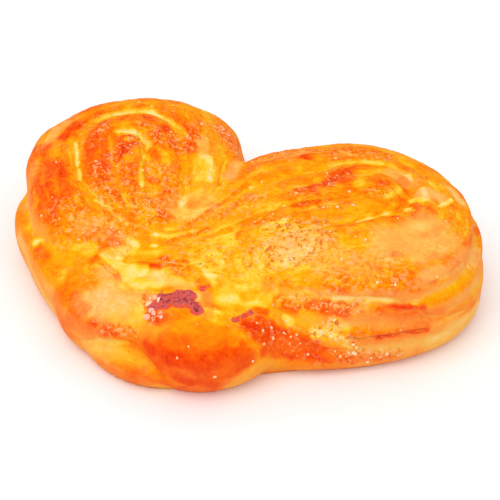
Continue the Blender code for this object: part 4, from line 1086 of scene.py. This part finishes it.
brown_and_shade = BAKED + mixed_lumps(points, BAKED_LUMPS)
brown_and_shade = toward(brown_and_shade, SIDE_BROWN[0] + SIDE_BROWN[1] * z, 0.8 * (1.0 - up))
brown_and_shade = toward(brown_and_shade, TORN_BROWN, 0.95 * smear(points, normals, TEAR, TEAR_WIDTH, rough) * up)
for half_width, value, much, *path in BROWNED_AND_SHADED:
    brown_and_shade = toward(brown_and_shade, value, much * smear(points, normals, path, half_width, rough))
brown_and_shade = brown_and_shade + STREAK_BROWN * streak
brown_and_shade = brown_and_shade + np.clip(broad_ridge * BROAD_BROWN[0], *BROAD_BROWN[1:])
brown_and_shade = brown_and_shade + np.clip(fine_ridge * FINE_BROWN[0], *FINE_BROWN[1:])
glazed = most(GLAZED, points, normals, rough)
lean = np.maximum(LEAN_SIDES * (1.0 - up), most(LEAN, points, normals, rough))
lean = lean * (1.0 - GLAZED_OVER * glazed)
burn = most(BURNS, points, normals, BURN_RAGGED * rough) * up
sugary = THIN_SUGAR[0] * ease(0.3 + 1.3 * lumps(points, *THIN_SUGAR[1:])) * up * (1.0 - glazed)
sugary = np.maximum(sugary, most(SUGARY, points, normals, rough))
sugary = sugary * (1.0 - burn) * ease((z - TRAY_GAP) / 2.0)
crumbly = smear(points, normals, CRUMB, CRUMBLY_WIDTH, rough) * up * (1.0 - glazed)
crumbly = np.maximum(crumbly, CRUMBLY_TOP * up)
cut_face = np.maximum(lobes[0][0], lobes[1][0]) * (1.0 - lean) * (1.3 - crumbly)
crust_fields = {"brown_and_shade": brown_and_shade, "lean": lean, "burnt": burn, "glazed": glazed,
                "sugary": sugary, "cut_face": cut_face, "crumbly": crumbly}
for name, values in crust_fields.items():
    put_field(bun_mesh, name, values)
on_left = (lobes[0][0] > lobes[1][0])[:, None]
layers = np.where(on_left, along_layers(points, lobes[0], LEFT_SEED + 2),
                  along_layers(points, lobes[1], RIGHT_SEED + 2))
field = bun_mesh.attributes.new("layers", "FLOAT_VECTOR", "POINT")
field.data.foreach_set("vector", layers.astype(np.float32).ravel())


def linear(code):
    """A colour's linear red, green and blue from its sRGB hex code: the sRGB curve."""
    parts = np.array([int(code[i:i + 2], 16) / 255.0 for i in (1, 3, 5)])
    return (*np.where(parts <= 0.04045, parts / 12.92, ((parts + 0.055) / 1.055) ** 2.4), 1.0)


def per_metre(size):
    """A pattern's scale from its real size in millimetres: how often it repeats in a metre."""
    return 1.0 / (size * MM)


def new_paint(name, numbers):
    """A material whose one shader takes these numbers on its own sockets. Gives the material, its
    nodes and those sockets."""
    paint = bpy.data.materials.new(name)
    paint.use_nodes = True
    shader = paint.node_tree.nodes["Principled BSDF"]
    for socket, number in numbers.items():
        shader.inputs[socket].default_value = number
    return paint, paint.node_tree, shader.inputs


def add_node(tree, kind, inputs=(), output=0, **settings):
    """One node with its settings, and one of its outputs. Each input is either a number or
    colour of its own or the output that feeds it."""
    node = tree.nodes.new("ShaderNode" + kind)
    for name, value in settings.items():
        setattr(node, name, value)
    for socket, value in dict(inputs).items():
        if isinstance(value, bpy.types.NodeSocket):
            tree.links.new(value, node.inputs[socket])
        else:
            node.inputs[socket].default_value = value
    return node.outputs[output]


def ramped(output, stops):
    """The output of a ramp whose colours now are at their places."""
    ramp = output.node.color_ramp
    while len(ramp.elements) < len(stops):
        ramp.elements.new(0.5)
    for element, (at, code) in zip(ramp.elements, stops):
        element.position = at
        element.color = linear(code)
    return output


# Baked yeast dough: a finely pored crust, less matt where egg wash dried on it. IOR 1.45 is a
# typical value for dry food. The sizes of its patterns are in millimetres.
PORES, GRAIN, FLAKES, MOTTLE = 0.5, 1.2, 2.5, 5.0
FINE_SUGAR, SCORCHED = 1.3, 1.5
CRUST = ((0.0, "#F4DE8C"), (0.17, "#F4CC38"), (0.33, "#F4AC08"), (0.5, "#F48A00"), (0.67, "#F46000"),
         (0.84, "#E43000"), (1.0, "#A02800"))
BARE = ((0.0, "#F4D89C"), (0.3, "#F4B45C"), (0.58, "#F49040"), (0.84, "#EC6028"), (1.0, "#A83410"))
BURNT = ((0.0, "#F46C2C"), (0.3, "#E04030"), (0.55, "#D86058"), (0.8, "#B85050"), (1.0, "#8C3438"))
BROWNED_PIT, PALE_GRAIN, SCORCH = linear("#DC4410"), linear("#F8BC80"), linear("#C0540C")
dough_paint, tree, shader = new_paint("baked_yeast_dough", {"IOR": 1.45, "Specular IOR Level": 0.04})
place = add_node(tree, "TexCoord", output="Object")
brown_and_shade_at, lean_at, burnt_at, glazed_at, sugary_at, cut_at, crumbly_at = (
    add_node(tree, "Attribute", output="Fac", attribute_name=name) for name in crust_fields)
layers_at = add_node(tree, "Attribute", output="Vector", attribute_name="layers")
pores = add_node(tree, "TexNoise", {"Vector": place, "Scale": per_metre(PORES), "Detail": 2.0})
mottle = add_node(tree, "TexNoise", {"Vector": place, "Scale": per_metre(MOTTLE), "Detail": 3.0})
grain = add_node(tree, "TexNoise", {"Vector": place, "Scale": per_metre(GRAIN), "Detail": 4.0,
                                    "Roughness": 0.65})
# flakes twice as long along the bun as across it, and on the cut faces fibres along the layers,
# both parted by creases where their pattern crosses its middle
long_way = add_node(tree, "Mapping", {"Vector": place, "Scale": (0.5, 1.0, 1.0)})
flakes = add_node(tree, "TexNoise", {"Vector": long_way, "Scale": per_metre(FLAKES), "Detail": 3.0,
                                     "Distortion": 0.5})
fibres = add_node(tree, "TexNoise", {"Vector": layers_at, "Scale": 1.0, "Detail": 2.5, "Roughness": 0.55})
fibrous = add_node(tree, "Math", {0: cut_at, 1: 0.75}, operation="MULTIPLY")
pattern = add_node(tree, "Mix", {"Factor": fibrous, 2: flakes, 3: fibres})
pattern = add_node(tree, "Math", {0: pattern, 1: 0.5}, operation="SUBTRACT")
from_crease = add_node(tree, "Math", {0: pattern}, operation="ABSOLUTE")
crease = add_node(tree, "MapRange", {"Value": from_crease, "From Max": 0.03, "To Min": 1.0, "To Max": 0.0})
ragged = add_node(tree, "Math", {0: cut_at, 1: crumbly_at}, operation="MAXIMUM")     # not the smooth skin
crease = add_node(tree, "Math", {0: crease, 1: ragged}, operation="MULTIPLY")
pattern = add_node(tree, "Math", {0: pattern, 1: ragged}, operation="MULTIPLY")
# how brown the crust is in all, with painted shade in the fine creases: each pair is a pattern and how much
# it counts
uneven = add_node(tree, "Math", {0: grain, 1: 0.5}, operation="SUBTRACT")
uneven_much = add_node(tree, "MapRange", {"Value": sugary_at, "To Min": -0.25, "To Max": -0.6})
level = add_node(tree, "Math", {0: brown_and_shade_at, 1: 0.85}, operation="MULTIPLY")
for source, much in ((uneven, uneven_much), (pattern, -0.52), (crease, 0.12), (mottle, 0.3)):
    level = add_node(tree, "Math", {0: source, 1: much, 2: level}, operation="MULTIPLY_ADD")
level = add_node(tree, "Math", {0: level, 1: 0.175}, operation="SUBTRACT")
crust_colour = ramped(add_node(tree, "ValToRGB", {"Fac": level}), CRUST)
bare_colour = ramped(add_node(tree, "ValToRGB", {"Fac": level}), BARE)

# fine sugar baked into the glaze: pale irregular grains with browned pits between them
speckle = add_node(tree, "TexNoise", {"Vector": place, "Scale": per_metre(FINE_SUGAR), "Detail": 1.5,
                                      "Distortion": 0.8})
is_grain = add_node(tree, "MapRange", {"Value": speckle, "From Min": 0.55, "From Max": 0.62})
is_grain = add_node(tree, "Math", {0: is_grain, 1: sugary_at}, operation="MULTIPLY")
grain_share = add_node(tree, "Math", {0: is_grain, 1: 0.75}, operation="MULTIPLY")
is_pit = add_node(tree, "MapRange", {"Value": speckle, "From Min": 0.45, "From Max": 0.36})
is_pit = add_node(tree, "Math", {0: is_pit, 1: sugary_at}, operation="MULTIPLY")
pit_share = add_node(tree, "Math", {0: is_pit, 1: 0.7}, operation="MULTIPLY")
# dark specks where a crumb of crust scorched: a few cells of a pattern
from_cell = add_node(tree, "TexVoronoi", {"Vector": place, "Scale": per_metre(SCORCHED)}, "Distance")
cell_draw = add_node(tree, "SeparateColor", {"Color": from_cell.node.outputs["Color"]})
is_scorched = add_node(tree, "Math", {0: cell_draw, 1: 0.16}, operation="LESS_THAN")
is_scorched = add_node(tree, "Math", {0: is_scorched, 1: crumbly_at}, operation="MULTIPLY")
speck = add_node(tree, "MapRange", {"Value": from_cell, "From Min": 0.30, "From Max": 0.18, "To Max": 0.55})
speck = add_node(tree, "Math", {0: speck, 1: is_scorched}, operation="MULTIPLY")
# burnt sugar: ragged, red at its edge, mauve in the middle, with darker pits
ragged_burn = add_node(tree, "Math", {0: speckle, 1: 1.5, 2: burnt_at}, operation="MULTIPLY_ADD")
depth = add_node(tree, "Math", {0: uneven, 1: 3.0, 2: ragged_burn}, operation="MULTIPLY_ADD")
depth = add_node(tree, "MapRange", {"Value": depth, "From Min": 0.8, "From Max": 2.15})
caramel = ramped(add_node(tree, "ValToRGB", {"Fac": depth}), BURNT)
is_burnt = add_node(tree, "MapRange", {"Value": burnt_at, "From Min": 0.02, "From Max": 0.2})
burnt_share = add_node(tree, "MapRange", {"Value": ragged_burn, "From Min": 0.88, "From Max": 1.2})
burnt_share = add_node(tree, "Math", {0: burnt_share, 1: is_burnt}, operation="MULTIPLY")
# one colour over the other, from the baked crust to the burnt sugar
colour = crust_colour
for share, over in ((lean_at, bare_colour), (pit_share, BROWNED_PIT), (grain_share, PALE_GRAIN),
                    (speck, SCORCH), (burnt_share, caramel)):
    colour = add_node(tree, "Mix", {"Factor": share, 6: colour, 7: over}, 2, data_type="RGBA")
gloss = add_node(tree, "MapRange", {"Value": glazed_at, "To Min": 0.62, "To Max": 0.38})
# relief that is too fine for the mesh: the grain, with the pores, the fine sugar and the creases
height = grain
for source, much in ((pores, 0.4), (is_grain, 0.7), (crease, -0.45)):
    height = add_node(tree, "Math", {0: source, 1: much, 2: height}, operation="MULTIPLY_ADD")
bump = add_node(tree, "Bump", {"Height": height, "Strength": 0.6, "Distance": 0.3 * MM})
tree.links.new(colour, shader["Base Color"])
tree.links.new(gloss, shader["Roughness"])
tree.links.new(bump, shader["Normal"])
bun_mesh.materials.clear()
bun_mesh.materials.append(dough_paint)

bun.data.shade_smooth()
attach(bun, "root")
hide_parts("bun")

# ---- The sugar -------------------------------------------------------------------------
# Crystals of coarse sugar, most of them about 1 mm, and finer sugar of 0.4 to 0.7 mm, strewn on
# the egg wash before baking and held by it, half sunk. The coarse ones stayed white; the fine
# ones took on the colour of the glaze round them.
SUGARS = {                 # number, smallest and largest edge, how much commoner small ones are
    "coarse_sugar": (40, 0.45, 0.80, 1.3),
    "fine_sugar": (700, 0.40, 0.70, 1.4),
}
PLACED = (                 # the crystals that stand out most: x, y, z and size
    (-3.3, -39.2, 19.9, 2.0), (-2, -42.3, 18.7, 2.3), (-1.7, -40.6, 19.5, 1.6), (-2.2, -36.9, 20.8, 1.9),
    (-0.6, -37.7, 20.7, 1.7), (-0.5, -41.2, 19.4, 1.8), (1.1, -40.6, 19.8, 1.5), (1.7, -41.8, 19.3, 1.5),
    (-3.4, -38.3, 20.2, 1.9), (-3.6, -37.5, 20.5, 1.1), (23.2, -31.7, 16.3, 0.9), (25.2, -31.8, 15, 1.3),
    (27, -29.6, 15, 0.9), (28.4, -31, 13.2, 1.4), (30, -28.9, 13.5, 0.9), (31.8, -28.6, 12.5, 0.9),
    (32.6, -27.2, 13, 0.8), (26, -33.7, 12.2, 0.9), (32.1, -29.9, 10.7, 0.7), (36, -27.3, 7.6, 1),
    (34, -28.4, 10.5, 0.6), (29.4, -26.3, 15.3, 1), (38, -24.6, 13.2, 1.3), (40.8, -24.5, 12.5, 1.2),
    (42.3, -24.2, 11.8, 1.4), (40.9, -22.4, 16.2, 1), (42.3, -21.7, 14.8, 1), (43.5, -23.9, 6.9, 1.2),
    (46.3, -22, 7, 1.7), (46, -22.4, 10.3, 1), (47.1, -21.5, 9, 1), (45, -22.2, 7.4, 0.8),
    (50.2, -19.8, 5, 1.1), (49.5, -19.9, 3.5, 1), (53.8, -17.1, 5.8, 1.1), (52.4, -18.2, 4.8, 0.7),
    (56.2, -15.2, 4.5, 0.7), (42, -23.7, 7.9, 0.7), (-20.2, 28.9, 30.3, 1.1), (-17.5, 31.1, 29, 0.9),
    (-15.3, 32.6, 27.7, 0.9), (-8.2, 8.1, 27.6, 1.8), (-12.2, 7.6, 28.2, 1), (-38.2, 31.7, 30.3, 0.8),
    (-26.8, 21.5, 30.1, 0.8), (-31.7, 7.5, 30, 0.8), (-33.7, 1.7, 28.3, 0.8), (-29.9, -8.8, 27.2, 0.8),
    (-12.8, -15.9, 23, 1.1), (-11.2, -19.7, 22.4, 1), (-46.2, -19.7, 22, 1), (-45.2, -14, 24.9, 0.8),
    (17.8, -44.8, 8.6, 1.1), (11.5, -46.1, 15.9, 0.8), (23.6, -37, 10, 0.8), (9.7, -48.7, 13.8, 0.7),
    (20.3, 30.1, 28.7, 1.1), (33.1, 10.4, 28.9, 1.2), (29.4, 7.4, 29.2, 1), (26.4, 5.7, 29.1, 1.1),
    (17.5, 7.7, 29.8, 1), (3.9, 9.2, 27, 1), (5.7, 11.9, 27.5, 0.9), (30.1, 15.3, 29.2, 0.9),
    (29.1, 0.2, 27.6, 1.1), (31.1, 3, 27.7, 0.8), (36.5, 4.2, 28.1, 1), (40.7, -0.9, 27.6, 1),
    (38.4, -1.6, 28, 0.9), (41.4, 1.7, 28, 0.8), (45.4, 10.6, 27.8, 0.8), (57.1, 17.5, 25.7, 0.9),
    (16.5, 1.7, 29.2, 0.8), (14.7, -1.4, 28.4, 0.8), (41.7, 30.8, 27.1, 1), (46, 16.4, 26.8, 1.2),
    (37.8, -10.5, 26.9, 0.9), (39.6, -11, 26.2, 0.8), (52.2, -11, 23.1, 1.2), (48.2, -12.8, 24.1, 0.8),
)
PLACED_SHARE = 0.9         # a placed crystal's edge, as a share of the size it shows
SUNK = 0.25                # depth of a crystal's middle under the crust, in edges
ANYWHERE = 0.03            # how much fine sugar lies on any upper crust
CORNER, BOSS = 0.36, 0.50  # half width of a crystal at its corners and at the middle of its faces
UNEVEN_CUBE = (0.75, 1.2, 0.08)    # least and greatest share of a side, and how far a corner strays
ROSY_REACH = 5.0           # half width of the burnt sugar's red glow on the crystals beside it
SUGAR_SEED = 17

cube = [(i, j, k) for i in (-CORNER, CORNER) for j in (-CORNER, CORNER) for k in (-CORNER, CORNER)]
cube_sides = ((0, 1, 3, 2), (4, 6, 7, 5), (0, 4, 5, 1), (2, 3, 7, 6), (0, 2, 6, 4), (1, 5, 7, 3))
bosses = [(-BOSS, 0, 0), (BOSS, 0, 0), (0, -BOSS, 0), (0, BOSS, 0), (0, 0, -BOSS), (0, 0, BOSS)]
grain_points = np.array(cube + bosses)
grain_faces = np.array([(side[i], side[(i + 1) % 4], len(cube) + number)
                        for number, side in enumerate(cube_sides) for i in range(4)])
faces = read_rows(bun_mesh.polygons, "vertices", 3, np.int32)
corners = points[faces]
across = np.cross(corners[:, 1] - corners[:, 0], corners[:, 2] - corners[:, 0])
area = 0.5 * np.linalg.norm(across, axis=1)
face_normal = across / (2.0 * area + 1e-9)[:, None]


def crystals(name, spots, outward, size, draw):
    """A mesh of crystals sunk into the crust at the spots: cubes with rounded faces and
    uneven sides, turned any way."""
    number, corner_count = len(spots), len(grain_points)
    axes = np.linalg.qr(draw.normal(size=(number, 3, 3)))[0]
    axes = axes * np.sign(np.linalg.det(axes))[:, None, None]
    least, greatest, stray = UNEVEN_CUBE
    shape = grain_points * draw.uniform(least, greatest, (number, 1, 3))
    shape = shape + draw.uniform(-stray, stray, (number, corner_count, 3))
    middles = spots - outward * (SUNK * size)[:, None]
    grains = middles[:, None] + np.einsum("nij,njk->nik", shape, axes) * size[:, None, None]
    sides = grain_faces[None] + corner_count * np.arange(number)[:, None, None]
    return new_piece(name, (grains.reshape(-1, 3) - MIDDLE) * MM, sides.reshape(-1, 3).tolist(),
                     bpy.context.scene.collection)


def strewn(name, much, draw):
    """Faces that crystals fall on, by area times how much lies there, a spot on each of
    them and a size for each crystal."""
    number, smallest, largest, smaller = SUGARS[name]
    chance = area * much[faces].mean(axis=1) * (face_normal[:, 2] > 0.05)
    chosen = draw.choice(len(faces), number, p=chance / chance.sum())
    cuts = np.sort(draw.uniform(0.0, 1.0, (number, 2)), axis=1)
    weights = np.stack([cuts[:, 0], cuts[:, 1] - cuts[:, 0], 1.0 - cuts[:, 1]], axis=-1)
    size = smallest + (largest - smallest) * draw.uniform(0.0, 1.0, number) ** smaller
    return chosen, np.einsum("ij,ijk->ik", weights, corners[chosen]), size


def put_each(sugar, name, values):
    """A number for each crystal, for its material to read at all of its points."""
    put_field(sugar.data, name, np.repeat(values, len(grain_points)))


draw = np.random.default_rng(SUGAR_SEED)
placed = np.array(PLACED)
near = np.array([np.argmin(np.linalg.norm(points - spot_at, axis=1)) for spot_at in placed[:, :3]])
chosen, spots, size = strewn("coarse_sugar", (0.2 + sugary) * up * (1.0 - burn), draw)
spots = np.concatenate([points[near], spots])
outward = np.concatenate([normals[near], face_normal[chosen]])
size = np.concatenate([PLACED_SHARE * placed[:, 3], size])
coarse_sugar = crystals("coarse_sugar", spots, outward, size, draw)
rosy = smear(spots, outward, BURNS[0][2:], ROSY_REACH, 0.0)
put_each(coarse_sugar, "tinted", 0.35 * draw.uniform(0.0, 1.0, len(spots)) ** 2)
put_each(coarse_sugar, "rosy", rosy * draw.uniform(0.0, 1.0, len(spots)))
chosen, spots, size = strewn("fine_sugar", ANYWHERE * up + sugary ** 1.3, draw)
fine_sugar = crystals("fine_sugar", spots, face_normal[chosen], size, draw)
luck = draw.uniform(-0.15, 0.15, len(spots))
put_each(fine_sugar, "tinted", 0.25 + 0.6 * brown_and_shade[faces[chosen, 0]] + luck)
put_each(fine_sugar, "rosy", np.zeros(len(spots)))

# Sugar crystals: clear to white with sharp faces, IOR 1.54. Some are tinted by the glaze, and
# those beside the first of the burns by its red.
CRYSTAL_TINTS = ((0.0, "#F4DCB0"), (0.3, "#F4C478"), (0.6, "#F4A050"), (1.0, "#F07838"))
ROSY = linear("#F8A894")
sugar_paint, tree, shader = new_paint("sugar_crystals", {"IOR": 1.54, "Roughness": 0.3})
tinted_at, rosy_at = (add_node(tree, "Attribute", output="Fac", attribute_name=name)
                      for name in ("tinted", "rosy"))
tint = ramped(add_node(tree, "ValToRGB", {"Fac": tinted_at}), CRYSTAL_TINTS)
tint = add_node(tree, "Mix", {"Factor": rosy_at, 6: tint, 7: ROSY}, 2, data_type="RGBA")
tree.links.new(tint, shader["Base Color"])
for sugar in (coarse_sugar, fine_sugar):
    sugar.data.materials.append(sugar_paint)
    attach(sugar, "root")
    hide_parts("bun")

# ---- The table, the light and the camera ---------------------------------------------
# A pale matt table top that runs on past the picture, a large soft light from above and an
# even white room round it, as for a product photograph. Sizes here are in metres.
REACH = 4.0                # of the table top to each side
table = new_piece("table", [(-REACH, -REACH, 0), (REACH, -REACH, 0), (REACH, REACH, 0), (-REACH, REACH, 0)],
                  [(0, 1, 2, 3)], bpy.context.scene.collection)
# White laminate with a matt press finish: an even pale floor with hardly any mirror shine.
table_paint, _, _ = new_paint("matt_white_laminate", {"Base Color": linear("#F9F9F9"), "Roughness": 0.6})
table.data.materials.append(table_paint)

room = bpy.data.worlds.new("studio")
room.use_nodes = True
backdrop = room.node_tree.nodes["Background"].inputs
backdrop["Color"].default_value = linear("#FFFFFF")
backdrop["Strength"].default_value = 0.92
bpy.context.scene.world = room


def aimed(name, data, azimuth, elevation, distance, target=(0.0, 0.0, 0.0)):
    """An object that faces the target from one direction, so far away: its place is the
    target plus distance times (sin a cos e, -cos a cos e, sin e)."""
    a, e = radians(azimuth), radians(elevation)
    back = Vector((sin(a) * cos(e), -cos(a) * cos(e), sin(e)))
    made = bpy.data.objects.new(name, data)
    made.location = Vector(target) + back * distance
    made.rotation_euler = back.to_track_quat("Z", "Y").to_euler()
    bpy.context.scene.collection.objects.link(made)
    return made


# each light's direction in degrees, its distance and size in metres and its power in watts
for name, azimuth, elevation, distance, size, power in (
        ("overhead", -20.0, 65.0, 0.9, 0.7, 2.3), ("fill", 60.0, 35.0, 1.0, 0.8, 0.5)):
    light = bpy.data.lights.new(name, "AREA")
    light.size = size
    light.energy = power
    aimed(name, light, azimuth, elevation, distance)

# the photograph's view
lens = bpy.data.cameras.new("camera")
lens.lens = 100.0
lens.sensor_width = 36.0
bpy.context.scene.camera = aimed("camera", lens, 24.0, 37.0, 0.380, (0.00574, 0.00208, 0.0128))
bpy.context.scene.view_settings.view_transform = "Standard"
